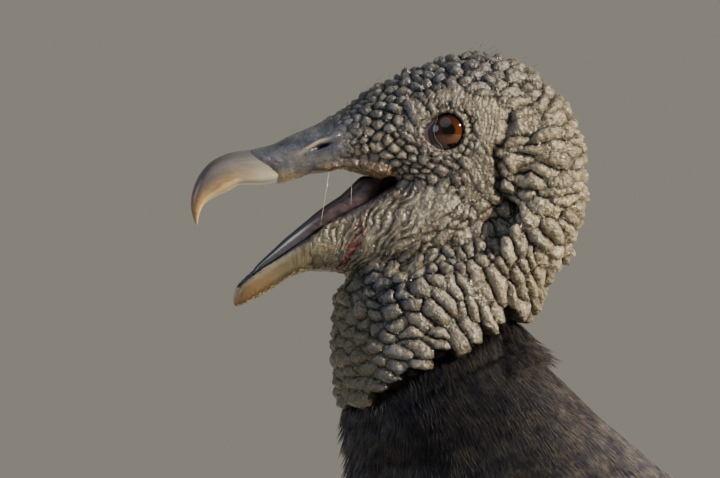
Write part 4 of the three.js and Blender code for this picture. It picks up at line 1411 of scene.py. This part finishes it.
# %% Finish of the tongue
wet_tongue = new_material("wet slate-grey tongue")
tongue_node = partial(add_node, wet_tongue)
rim = tongue_node("Attribute", out=2, attribute_name="rim")
flesh = stretched_noise(wet_tongue, 3, 1.5, 1.5)
rim_soft = tongue_node("Math", operation="MULTIPLY_ADD", in_0=flesh, in_1=0.4, in_2=rim)
front = tongue_node("ValToRGB", Fac=rim_soft, stops=((0.1, "#3b3e46"), (0.7, "#4b4d54"), (1.0, "#a5a3a0")))
rear = tongue_node("ValToRGB", Fac=flesh, stops=((0.35, "#2e262a"), (0.55, "#463b40"), (0.7, "#58403a")))
rearward = tongue_node("Attribute", out=2, attribute_name="rearward")
tone = tongue_node("Mix", **LAID_OVER, in_0=rearward, in_6=front, in_7=rear)
set_shader(wet_tongue, Base_Color=tone, Roughness=0.45, Specular_IOR_Level=0.25, Coat_Weight=0.1)
finish_piece(tongue_piece, wet_tongue, "mouth_skin", "tongue")

# %% [markdown]
# ## Threads of saliva
# Two threads of saliva hang in the open mouth, drying from clear to milky. They are thin cones with
# six sides. Clear ones would hardly show, so they are drawn milky, with the sharp gloss of a fluid.

# %% Threads of saliva
THREADS = [((-32.0, -6.0, -11.0), (-34.1, -5.0, -25.5)), ((-25.7, -6.5, -10.5), (-25.9, -6.0, -19.8))]
form = bmesh.new()
for top, foot in THREADS:
    top, foot = from_face(*top), from_face(*foot)
    turn = (top - foot).to_track_quat("Z", "Y").to_matrix().to_4x4()
    bmesh.ops.create_cone(
        form, cap_ends=True, segments=6, radius1=0.09 * MM, radius2=0.06 * MM, depth=(top - foot).length,
        matrix=Matrix.Translation((top + foot) / 2) @ turn,
    )
threads = object_from(form, "saliva_threads")
saliva = new_material("drying saliva")
cloud = stretched_noise(saliva, 1, 1, 3)
tone = add_node(saliva, "ValToRGB", Fac=cloud, stops=((0.3, "#8f8b84"), (0.7, "#c9c6bd")))
set_shader(saliva, Base_Color=tone, Roughness=0.12, Coat_Weight=0.5)
finish_piece(threads, saliva, "mouth_skin")

# %% [markdown]
# ## Claws
# Eight blunt claws, melted from their solids. They are keratin like the bill, but full of black
# pigment, and worn on the ground. The eye sees a dull black with brown streaks along the growth.

# %% Claws
claw_nodes = [f"claw_{toe}_{side}" for toe in ("hallux", "inner", "middle", "outer") for side in both]
claws = melted(copy_of(claw_nodes, 0.2 * MM), "claws", 0.6 * MM, 4)
claw_keratin = new_material("black claw keratin")
streaks = stretched_noise(claw_keratin, 4, 4, 0.8)
tone = add_node(claw_keratin, "ValToRGB", Fac=streaks, stops=((0.3, "#0f0d0c"), (0.75, "#37312c")))
relief = add_node(claw_keratin, "Bump", Strength=0.3, Distance=0.2 * MM, Height=streaks)
set_shader(claw_keratin, Base_Color=tone, Roughness=0.38, Normal=relief)
finish_piece(claws, claw_keratin, "claw", *claw_nodes)

# %% [markdown]
# ## Feathers as thin solid blades
# A body feather is a thin vane, widest past its middle, on a shaft. One blade is made from a grid:
# it is drawn in to the outline, a turned-over copy is closed against it along the rim, and the two
# are parted a little in the middle, so it is a closed lens. A flat sheet would have no inside.

# %% One blade
def blade(rows, columns, shape, thickness, camber, tip_crowd=1.5):
    """A closed thin vane, 1 long and 1 wide at most, root at the origin, shaft along +X, front +Z."""
    form = bmesh.new()
    bmesh.ops.create_grid(form, x_segments=rows, y_segments=columns, size=0.5)
    under = bmesh.ops.duplicate(form, geom=form.verts[:] + form.edges[:] + form.faces[:])["geom"]
    bmesh.ops.reverse_faces(form, faces=[g for g in under if isinstance(g, bmesh.types.BMFace)])
    lower = {g for g in under if isinstance(g, bmesh.types.BMVert)}
    for vert in form.verts:
        x = 1 - (0.5 - vert.co.x) ** tip_crowd
        y = vert.co.y * 2
        swell = (1 - y * y) * sin(pi * min(max(x, 0.04), 0.97))
        lift = -camber * y * y + (-0.5 if vert in lower else 0.5) * thickness * swell
        vert.co = (x, y * shape(x) / 2, lift)
    bmesh.ops.remove_doubles(form, verts=form.verts, dist=1e-5)
    return form


def contour_shape(x):
    """Width of a body feather along its length."""
    start = 0.22 + 0.78 * float(smoothstep(0.0, 0.55, x))
    return start * sqrt(max(0.0, 1 - (max(x - 0.6, 0) / 0.4) ** 2.4))


def flight_shape(x):
    """Width of a wing or tail feather along its length."""
    start = 0.3 + 0.7 * float(smoothstep(0.0, 0.3, x))
    return start * sqrt(max(0.0, 1 - (max(x - 0.84, 0) / 0.16) ** 2.2))


print("widths at the middle", round(contour_shape(0.5), 2), "and", round(flight_shape(0.5), 2))

# %% [markdown]
# ## One tuft of down
# The foot of the neck is clothed in velvet: tufts of soft barbs that don't hook together to a vane.
# A tuft is a row of thin spindles with three sides. Real barbs are hairs of 0.02 mm, far too fine to
# show, so a few dozen thicker ones stand for hundreds.

# %% One tuft of down
LEVEL_OFF = 0.1  # how much of its length a barb bends back towards the body


def lock(strands, width, thick, rng):
    """A tuft of downy barbs from one root: three-sided spindles that rise, then lie along the body."""
    form = bmesh.new()
    for n in range(strands):
        cone = bmesh.ops.create_cone(
            form, segments=3, radius1=0.5, radius2=0.0, depth=1.0, cap_ends=True,
        )["verts"]
        ring = [v for v in cone if v.co.z < 0]
        base = next(f for f in ring[0].link_faces if all(v in ring for v in f.verts))
        foot = bmesh.ops.poke(form, faces=[base])["verts"][0]
        place = rng.uniform(-0.5, 0.5)
        start = rng.uniform(0.0, 0.3)
        length = rng.uniform(0.65, 1.0)
        gather = rng.uniform(0.7, 1.3)
        lift = rng.uniform(-0.03, 0.03)
        bow = rng.uniform(-0.1, 0.1)
        for vert in cone + [foot]:
            x = 0.0 if vert is foot else (0.45 if vert in ring else 1.0)
            across = place * width * (1 - (1 - gather) * x) + bow * x * x
            across += vert.co.x * thick * (vert in ring)
            rise = vert.co.y * thick * 0.4 * (vert in ring) + lift * x - LEVEL_OFF * x * x
            vert.co = (start + x * length * (1 - start * 0.5), across, rise)
    bmesh.ops.recalc_face_normals(form, faces=form.faces)
    return form


print("barbs bend back by", LEVEL_OFF, "of their length")

# %% [markdown]
# ## Laying copies
# A coat is one mesh with a copy of the blade at each root, because thousands of objects would be slow.
# Every feather has its own bend, shade and patch of the bake map, and each point keeps its place along
# and across the feather, for the barbs.

# %% Lay copies of a blade over roots
def laid_coat(name, form, roots, rng, patch=0.003):
    """One mesh of a copy of form at each root. A root is place, along, out, length, width, u, v."""
    bmesh.ops.triangulate(form, faces=form.faces[:])
    form.verts.index_update()
    shape = np.array([v.co for v in form.verts])
    faces = np.array([[v.index for v in f.verts] for f in form.faces])
    form.free()
    place, along, out = (np.array([r[n] for r in roots], float) for n in range(3))
    length, width, u, v = (np.array([r[n] for r in roots], float) for n in range(3, 7))
    along = unit(along)
    across = unit(np.cross(out, along))
    out = np.cross(along, across)
    count, size = len(roots), len(shape)
    bend = rng.uniform(-0.06, 0.06, count)
    x, y, z = shape.T
    side_shift = y[None, :] * width[:, None] + (bend * length)[:, None] * x[None, :] ** 2
    points = (
        place[:, None, :]
        + along[:, None, :] * (x[None, :] * length[:, None])[:, :, None]
        + across[:, None, :] * side_shift[:, :, None]
        + out[:, None, :] * (z[None, :] * length[:, None])[:, :, None]
    )
    mesh = bpy.data.meshes.new(name)
    mesh.vertices.add(count * size)
    mesh.vertices.foreach_set("co", points.ravel())
    corners = (faces[None, :, :] + (np.arange(count) * size)[:, None, None]).ravel()
    mesh.loops.add(len(corners))
    mesh.loops.foreach_set("vertex_index", corners.astype(np.int32))
    mesh.polygons.add(len(corners) // 3)
    mesh.polygons.foreach_set("loop_start", np.arange(0, len(corners), 3, dtype=np.int32))
    mesh.update(calc_edges=True)
    made = bpy.data.objects.new(name, mesh)
    bpy.context.scene.collection.objects.link(made)
    store(made, "along", np.tile(x, count))
    store(made, "across", np.tile(y * 2, count))
    store(made, "shade", np.repeat(rng.uniform(0, 1, count), size))
    spot = np.stack([u, v], axis=1)[:, None, :] + (np.stack([x, y + 0.5], axis=1) * patch)[None, :, :]
    layer = mesh.uv_layers.new(name="OFBake")
    layer.data.foreach_set("uv", spot.reshape(-1, 2)[corners].astype(np.float32).ravel())
    return made


print("roots lie", COAT_DEPTH / MM, "mm under the surface of the solids")

# %% [markdown]
# ## Where feathers grow
# Feathers are rooted in rings round the trunk's own line, like slates on a round tower: each ring is
# turned half a step from the last, and its feathers point down the line to the tail. A ray from
# outside finds the flesh at each place. Near the neck they are short and downy, and grow larger
# towards the tail.

# %% Rays that find the flesh
def flesh_tree(*names):
    form = copy_of(names)
    tree = BVHTree.FromBMesh(form)
    form.free()
    return tree


def ray_root(tree, middle, outward, reach=0.14):
    """Where a ray from outside towards the middle meets the flesh, and the way out there."""
    hit, out, _, _ = tree.ray_cast(middle + outward * reach, -outward, reach)
    return (hit, out) if hit is not None else None


wing_tree = flesh_tree("wing_left", "wing_right")
thigh_tree = flesh_tree("thigh_left", "thigh_right")
trunk_tree = flesh_tree("trunk")
throat_tree = flesh_tree("trunk", "neck")
shoulder, _ = ray_root(trunk_tree, from_face(67, 0, -203), Vector((0, 1, 0)))
print("half the trunk's width", round(shoulder.y / MM), "mm")

# %% Rings of roots
UNDER_WING = 9 * MM  # feathers nearer than this to the wing above them aren't laid
FEWEST = 6  # feathers in a ring
STEEPEST = 0.45  # how much a feather rises from the flesh for each step along it
UV_INSET = 0.99  # keeps a root's patch inside the bake map


def ring_roots(tree, line, start, end, step_of, rng, covers=(), depth=COAT_DEPTH, stretch=2.6):
    """Roots in staggered rings along a line of face (x, y, z) points, from start to end millimetres."""
    knots = [from_face(*p) for p in line]
    spans = [(b - a).length / MM for a, b in zip(knots, knots[1:])]
    roots = []
    travelled, row = start, 0
    while travelled < end:
        rest, n = travelled, 0
        while n < len(spans) - 1 and rest > spans[n]:
            rest -= spans[n]
            n += 1
        middle = knots[n].lerp(knots[n + 1], rest / spans[n])
        towards_end = (knots[n + 1] - knots[n]).normalized()
        side = Vector((0, 1, 0))
        up = side.cross(towards_end).normalized()
        step = step_of(travelled)
        ways = [side * cos(t) + up * sin(t) for t in np.linspace(0, 6, 13)]
        trials = [ray_root(tree, middle, way) for way in ways]
        found = [(hit[0] - middle).length / MM for hit in trials if hit]
        if found:
            count = max(FEWEST, round(2 * pi * float(np.mean(found)) / (step * 0.95)))
            for k in range(count):
                turn = 2 * pi * (k + 0.5 * (row % 2) + rng.uniform(-0.2, 0.2)) / count
                shift = towards_end * step * MM * rng.uniform(-0.3, 0.3)
                hit = ray_root(tree, middle + shift, side * cos(turn) + up * sin(turn))
                if hit is None:
                    continue
                place, out = hit
                if any(c.ray_cast(place + out * 2 * MM, out, UNDER_WING)[0] is not None for c in covers):
                    continue
                flow = (towards_end - out * towards_end.dot(out)).normalized()
                length = step * stretch * rng.uniform(0.9, 1.1) * MM
                lie = (flow + out * min(depth * 0.9 / length, STEEPEST)).normalized()
                broad = step * 1.35 * MM * rng.uniform(0.9, 1.1)
                u = (turn / (2 * pi)) % 1.0 * UV_INSET
                v = min(max(travelled / sum(spans), 0), 1) * UV_INSET
                roots.append((place - out * depth, lie, out, length, broad, u, v))
        travelled += step * 0.9
        row += 1
    return roots


print("feathers under a wing need", UNDER_WING / MM, "mm of room")

# %% [markdown]
# ## Downy tufts and body feathers
# Velvet clothes the foot of the neck up to the bare skin's slanted edge, and the body's feathers begin
# under its end. The tufts' roots are evened, so that no step of the flesh shows, and turned by a slow
# swirl, so that they don't stand in rows. On the back of the neck both kinds stand fuller.

# %% Sizes along the trunk
TRUNK_LINE = [(-1.3, -61.5), (14.4, -102), (26.9, -131), (42.4, -166), (67.4, -203), (99.4, -233),
              (130.4, -253), (158, -264), (181, -276), (203, -292)]
VELVET_END = 116.0  # millimetres along the neck and trunk
CONTOUR_START = 84.0
CONTOUR_END = 345.0
trunk_line = [(x, 0.0, z) for x, z in TRUNK_LINE]
neck_line = [(-7.5, 0.0, -45.0)] + trunk_line


def velvet_step(s):
    return 1.6 + 2.4 * float(smoothstep(45, VELVET_END - 10, s))


def fuller_back(place, out):
    """Lifts a root where the feathers stand fuller over the flesh, on the back of the neck."""
    x = (place.x - EYE.x) / MM
    return place + out * 5.0 * MM * float(smoothstep(32, 52, x) * smoothstep(105, 75, x)) * max(out.z, 0.0)


def contour_step(s):
    return 6.0 + 9.0 * float(smoothstep(30, 200, s))


print("body feathers stand", contour_step(0), "to", contour_step(CONTOUR_END), "mm apart")

# %% Roots of the velvet
velvet_roots = ring_roots(
    throat_tree, neck_line, 0.0, VELVET_END, velvet_step, rng, [wing_tree], depth=2.8 * MM, stretch=5.6,
)
behind_edge = below_border(to_face([root[0] for root in velvet_roots])) > -4.0
velvet_roots = [root for root, kept_one in zip(velvet_roots, behind_edge) if kept_one]
print("roots of velvet", len(velvet_roots))

# %% Evened and swirled
def evened(roots, reach):
    """Roots moved out or in to the mean level of the roots within reach, so that no step shows."""
    tree = KDTree(len(roots))
    for n, root in enumerate(roots):
        tree.insert(root[0], n)
    tree.balance()
    moved = []
    for place, along, out, *rest in roots:
        near = [hit[1] for hit in tree.find_range(place, reach)]
        middle = sum((roots[n][0] for n in near), Vector()) / len(near)
        mean_out = sum((roots[n][2] for n in near), Vector()).normalized()
        place = place + mean_out * (middle - place).dot(mean_out)
        along = (along - mean_out * along.dot(mean_out) + mean_out * along.dot(out)).normalized()
        moved.append((place, along, mean_out, *rest))
    return moved


velvet_roots = evened(velvet_roots, 7 * MM)
swirl = 0.2 * ripple(to_face([root[0] for root in velvet_roots]), 16.0, rng)
for n, turn in enumerate(swirl):
    place, along, *rest = velvet_roots[n]
    turned = Matrix.Rotation(float(turn), 3, rest[0]) @ along
    velvet_roots[n] = (fuller_back(place, rest[0]), turned, *rest)
print("most swirl", round(degrees(max(abs(swirl))), 1), "degrees")

# %% Roots of the body feathers, and the velvet's tufts
contour_roots = ring_roots(
    trunk_tree, trunk_line, CONTOUR_START, CONTOUR_END, contour_step, rng, [wing_tree, thigh_tree],
)
contour_roots = [(fuller_back(root[0], root[2]), *root[1:]) for root in contour_roots]
velvet = []
for side_name, side in SIDES.items():
    mine = sorted((r for r in velvet_roots if r[0].y * side >= 0), key=lambda r: -r[0].z)
    third = len(mine) // 3 + 1
    for n, level in enumerate(("upper", "middle", "lower")):
        part = mine[n * third:(n + 1) * third]
        velvet.append(laid_coat(f"velvet_{level}_{side_name}", lock(24, 1.9, 0.075, rng), part, rng))
print("velvet tufts", len(velvet_roots), "body feathers", len(contour_roots))

# %% [markdown]
# ## Stray down and bristles
# No real edge of down is clean: at the nape and throat some tufts stand off it. The head's bare skin
# carries a few short bristles, each one spindle.

# %% Down that stands off at the nape and throat, and bristles on the head
stray_roots = []
for place, along, out, length, *rest in velvet_roots:
    x, y, z = to_face(place)
    below = float(below_border(np.array([[x, y, z]]))[0])
    if (x > 12 and below < 7) or (x < -19 and z > -96):
        lie = (along + out * rng.uniform(0.2, 0.75)).normalized()
        stray_roots.append((place, lie, out, length * rng.uniform(0.7, 1.1), *rest))
stray_down = laid_coat("stray_down", lock(9, 1.6, 0.06, rng), stray_roots, rng)
print("stray tufts", len(stray_roots))

# %% Bristles on the head
BRISTLES_TRIED = 1400
bristle_roots = []
for index in rng.permutation(len(bare))[:BRISTLES_TRIED]:
    x, y, z = face[index]
    if x < -27 or z < -22 or mouth[index] > 0.1 or eye_near[index] < 6.5 or under[index] > -4 or x > 26:
        continue
    length = rng.uniform(1.6, 3.6) * MM
    out_here = Vector(normals[bare[index]])
    lie = (out_here + Vector((0.8, 0, 0.1)) + Vector(rng.normal(0, 0.3, 3))).normalized()
    u, v = 0.5 + np.sign(y) * 0.25 + x * 0.008, 0.5 + z * 0.015
    bristle_roots.append((Vector(points[bare[index]]), lie, out_here, length, length, u, v))
bristles = laid_coat("head_bristles", lock(1, 0.0, 0.055, rng), bristle_roots, rng)
print("bristles", len(bristle_roots))

# %% [markdown]
# ## Body and thigh feathers
# The body and the thighs wear feathers with a vane, laid as one coat each. The thighs' rings run round
# lines of their own.

# %% Body and thigh feathers
FEATHER = (7, 4, contour_shape, 0.02, 0.05)  # rows, columns, shape, thickness and camber
THIGH_STEP = 6.5  # millimetres from feather to feather
body_coat = laid_coat("body_coat", blade(*FEATHER), contour_roots, rng)
thigh_roots = []
for side_name, side in SIDES.items():
    low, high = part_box(f"thigh_{side_name}")
    top_x = to_face([(low + high) / 2])[0][0] - 4
    line = [(top_x, side * 35, to_face([high])[0][2]), (top_x + 6, side * 35, to_face([low])[0][2] - 1)]
    tree = flesh_tree(f"thigh_{side_name}")
    thigh_roots += ring_roots(
        tree, line, 8, 112, lambda s: THIGH_STEP, rng, [wing_tree], depth=2.5 * MM, stretch=2.7,
    )
thigh_coat = laid_coat("thigh_coat", blade(*FEATHER), thigh_roots, rng)
print("body feathers", len(contour_roots), "thigh feathers", len(thigh_roots))

# %% [markdown]
# ## Wing coverts
# On the folded wing the coverts lie in neat rows like slates, small at the wrist and larger towards
# the flight feathers that they cover. Rays from the side find the wing's surface on a staggered grid
# that is turned to the wing's own slope.

# %% Coverts on the side of the wing
WING_DIP = radians(38)  # how far the folded wing slopes down to the tail


def covert_roots(side_name, rng):
    side = SIDES[side_name]
    tree = flesh_tree(f"wing_{side_name}")
    low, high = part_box(f"wing_{side_name}")
    corner = Vector((low.x, 0, high.z))
    down_wing = Vector((cos(WING_DIP), 0, -sin(WING_DIP)))
    over_wing = Vector((sin(WING_DIP), 0, cos(WING_DIP)))
    roots = []
    travelled, row = -40.0, 0
    while travelled < 230.0:
        step = 7.0 + 8.0 * float(smoothstep(20, 170, travelled))
        across = -150.0 + (row % 2) * step * 0.5
        while across < 90.0:
            jitter = rng.uniform(-0.12, 0.12, 2) * step
            spot = corner + down_wing * (travelled + jitter[0]) * MM + over_wing * (across + jitter[1]) * MM
            spot.y = side * 0.12
            hit, out, _, _ = tree.ray_cast(spot, Vector((0, -side, 0)), 0.12)
            if hit is not None and out.y * side > 0.12 and out.z < 0.8:
                sag = radians(14) * (0.5 - smoothstep(-120, 60, across))
                way = down_wing * cos(sag) - over_wing * sin(sag)
                flow = (way - out * way.dot(out)).normalized()
                length = step * 2.5 * MM * rng.uniform(0.93, 1.07)
                lie = (flow + out * (COAT_DEPTH * 0.95 / length)).normalized()
                roots.append((
                    hit - out * COAT_DEPTH, lie, out, length, step * 1.3 * MM,
                    0.29 + side * 0.24 + travelled * 0.0009, 0.6 + across * 0.0035,
                ))
            across += step * 0.98
        travelled += step * 0.8
        row += 1
    return roots


print("the wing slopes by", round(degrees(WING_DIP)), "degrees")

# %% [markdown]
# ## Feathers round the wrist
# The wing's front and top edges turn away from the side, so rays from the side miss them. Rays from
# the front and from above find them, and small feathers are wrapped round there.

# %% Feathers round the wrist
WRIST_STEP = 4.2 * MM
WRIST_ROW = 4.6 * MM
WRIST_LONG = 13 * MM
WRIST_WIDE = 7.5 * MM


def wrist_roots(side_name, rng):
    """Small feathers wrapped round the wing's front and top edges, which rays from the side miss."""
    side = SIDES[side_name]
    tree = flesh_tree(f"wing_{side_name}")
    low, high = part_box(f"wing_{side_name}")
    across = np.arange(low.y, high.y, WRIST_STEP)
    levels = np.arange(high.z, low.z, -WRIST_ROW)
    rows = np.arange(low.x, low.x + 0.15, WRIST_ROW)
    front = [(Vector((low.x - 0.02, y, z)), Vector((1, 0, 0))) for z in levels for y in across]
    top = [(Vector((x, y, high.z + 0.02)), Vector((0, 0, -1))) for x in rows for y in across]
    roots = []
    for spot, inwards in front + top:
        hit, out, _, _ = tree.ray_cast(spot + Vector(rng.uniform(-1.6, 1.6, 3) * MM), inwards, 0.14)
        if hit is None or -out.dot(inwards) < (0.2 if inwards.x else 0.6):
            continue
        way = Vector((0.5, 0.55 * side, -0.6)) if inwards.x else Vector((1.0, 0.05 * side, -0.6))
        flow = (way - out * way.dot(out)).normalized()
        length = WRIST_LONG * rng.uniform(0.9, 1.1)
        lie = (flow + out * 0.14).normalized()
        u = 0.82 + side * 0.06 + abs(hit.y) * 1.2
        v = 0.05 + 2 * (hit.z + hit.x)
        roots.append((hit - out * 2.5 * MM, lie, out, length, WRIST_WIDE, u, v))
    return roots


wing_roots = [root for name in SIDES for root in covert_roots(name, rng) + wrist_roots(name, rng)]
wing_coat = laid_coat("wing_coverts", blade(*FEATHER), wing_roots, rng)
print("coverts", len(wing_roots))

# %% [markdown]
# ## Flight feathers
# The long feathers of the wing and tail are stiff vanes. They are laid with the same numbers as the
# solids: each is further under and further down than the last, and turned a little. Lengths are in
# millimetres and angles in degrees.

# %% Numbers of the flight feathers
SECONDARIES = {
    "count": 8, "length": 128, "width": 30, "root": (86.4, 64, -172), "dip": 40, "inward": 10,
    "back": 4, "down": 8.5, "step_in": 1.1, "shorten": 5, "spread": 1.5,
}
PRIMARIES = {
    "count": 6, "length": 152, "width": 24, "root": (114.4, 47, -204), "dip": 31, "inward": 10,
    "back": 4, "down": 4.6, "step_in": 1.1, "shorten": 13, "spread": 1.2,
}
TAIL = {"pairs": 6, "length": 166, "width": 25, "root": (130.4, 0, -230), "dip": 39, "turn": 1.5,
        "gap": 3.6, "under": 1.2, "shorten": 1.6}
print("feathers in a wing", SECONDARIES["count"] + PRIMARIES["count"], "in the tail", 2 * TAIL["pairs"])

# %% Roots of the flight feathers
def fan_roots(feathers, side):
    dip, inward = radians(feathers["dip"]), radians(feathers["inward"])
    flat = cos(inward)
    ahead = Vector((cos(dip) * flat, -sin(inward) * side, -sin(dip) * flat))
    outward = Vector((sin(inward), cos(inward) * side, 0))
    below = ahead.cross(outward).normalized() * side
    outward = below.cross(ahead).normalized() * side
    roots = []
    for n in range(feathers["count"]):
        turn = radians(n * feathers["spread"])
        lie = ahead * cos(turn) - below * sin(turn)
        place = from_face(feathers["root"][0], feathers["root"][1] * side, feathers["root"][2])
        place += ahead * -n * feathers["back"] * MM + outward * -n * feathers["step_in"] * MM
        place += below * -n * feathers["down"] * MM
        length = (feathers["length"] - n * feathers["shorten"]) * MM
        roots.append((place, lie, outward, length, feathers["width"] * MM, 0.0, 0.0))
    return roots


def tail_roots():
    dip = radians(TAIL["dip"])
    ahead = Vector((cos(dip), 0, -sin(dip)))
    upward = Vector((sin(dip), 0, cos(dip)))
    below = ahead.cross(upward)
    roots = []
    for n in range(TAIL["pairs"]):
        for side in (-1, 1):
            turn = radians((n + 0.5) * TAIL["turn"] * side)
            lie = ahead * cos(turn) - below * sin(turn)
            place = from_face(*TAIL["root"]) - upward * (n + (0.5 if side > 0 else 0)) * TAIL["under"] * MM
            place -= below * (n + 0.5) * TAIL["gap"] * side * MM
            length = (TAIL["length"] - n * TAIL["shorten"]) * MM
            roots.append((place, lie, upward, length, TAIL["width"] * MM, 0.0, 0.0))
    return roots


print("roots in the tail", len(tail_roots()))

# %% Flight feathers
def flight_feathers(name, roots, thickness):
    """Long feathers, each with its own strip of the bake map."""
    strips = [root[:5] + ((n + 0.05) / len(roots), 0.01) for n, root in enumerate(roots)]
    vane = blade(16, 4, flight_shape, thickness, 0.006, 1.0)
    return laid_coat(name, vane, strips, rng, patch=0.9 / len(roots))


flight_pieces = {}
for side_name, side in SIDES.items():
    secondaries = flight_feathers(f"secondary_feathers_{side_name}", fan_roots(SECONDARIES, side), 0.012)
    primaries = flight_feathers(f"primary_feathers_{side_name}", fan_roots(PRIMARIES, side), 0.012)
    flight_pieces[f"secondaries_{side_name}"] = secondaries
    flight_pieces[f"primaries_{side_name}"] = primaries
flight_pieces["tail"] = flight_feathers("tail_feathers", tail_roots(), 0.009)
print("flight feathers in", len(flight_pieces), "pieces")

# %% [markdown]
# ## Finish of the plumage
# Feathers are keratin too, grown as a shaft with barbs and black with pigment. Light is caught between
# the barbs, so the eye sees a deep matt brown-black with worn brown flecks, and hardly any gloss on
# the down. The barbs are streaks of noise that slant from the shaft. Real ones stand 0.3 mm apart, so
# they are drawn two or three times as coarse, to show. Near the bare neck the velvet is painted darker,
# as shade below the collar.

# %% Finish of the plumage
# the velvet is painted darker over this reach below the bare edge, as shade below the collar
NECK_SHADE_REACH = 40.0  # millimetres below the bare edge over which the velvet is darker
BODY_STREAKS = 30 / 0.5  # a body feather's length over the space from streak to streak, in millimetres
FLIGHT_STREAKS = 128 / 0.8
DOWN_STREAKS = 2.0  # down has no vane, so only its tips differ from its roots


def plumage_material(name, dark, brown, streak_across, sheen):
    plumage = new_material(name)
    plume_node = partial(add_node, plumage)
    along, across, shade, painted_neck_shade = (
        plume_node("Attribute", out=2, attribute_name=name)
        for name in ("along", "across", "shade", "painted_neck_shade")
    )
    off_shaft = plume_node("Math", operation="ABSOLUTE", in_0=across)
    slant = plume_node("Math", operation="MULTIPLY_ADD", in_0=off_shaft, in_1=-0.18, in_2=along)
    barb_place = plume_node("CombineXYZ", X=slant, Y=across, Z=shade)
    stretched = plume_node("Mapping", Vector=barb_place, Scale=(streak_across, 0.8, 40.0))
    barbs = plume_node("TexNoise", Vector=stretched, Scale=1.0, Detail=3.0, Roughness=0.6)
    mottle = stretched_noise(plumage, 5, 5, 5)
    worn = plume_node("Math", operation="MULTIPLY", in_0=barbs, in_1=mottle)
    worn = plume_node("Math", operation="MULTIPLY_ADD", in_0=shade, in_1=0.12, in_2=worn)
    tone = plume_node("ValToRGB", Fac=worn, stops=((0.24, dark), (0.46, brown)))
    # painted shade: darker near the bare neck
    tone = plume_node("Mix", **TINTED, in_0=painted_neck_shade, in_6=tone, in_7=linear("#a39fa0"))
    relief = plume_node("Bump", Strength=0.5, Distance=0.3 * MM, Height=barbs)
    set_shader(plumage, Base_Color=tone, Roughness=0.65, Normal=relief, Specular_IOR_Level=sheen)
    return plumage


down = plumage_material("velvety neck down", "#3a3b45", "#6b6661", DOWN_STREAKS, 0.12)
vane = plumage_material("brown-black body feather", "#0b0a0a", "#27201c", BODY_STREAKS, 0.35)
quill = plumage_material("black flight feather", "#0a0a0a", "#262020", FLIGHT_STREAKS, 0.35)
print("streaks on a body feather", BODY_STREAKS, "on a flight feather", FLIGHT_STREAKS)

# %% Finish the feathered pieces
for piece in velvet + [stray_down, bristles]:
    spots = to_face(points_of(piece))
    # painted shade below the collar, weaker towards the front
    near = smoothstep(NECK_SHADE_REACH, 0.0, below_border(spots)) * smoothstep(-35.0, 0.0, spots[:, 0])
    store(piece, "painted_neck_shade", near)
    finish_piece(piece, down, "plumage")
for coat in (body_coat, thigh_coat, wing_coat):
    finish_piece(coat, vane, "plumage")
for node, piece in flight_pieces.items():
    finish_piece(piece, quill, "flight_feather", node)
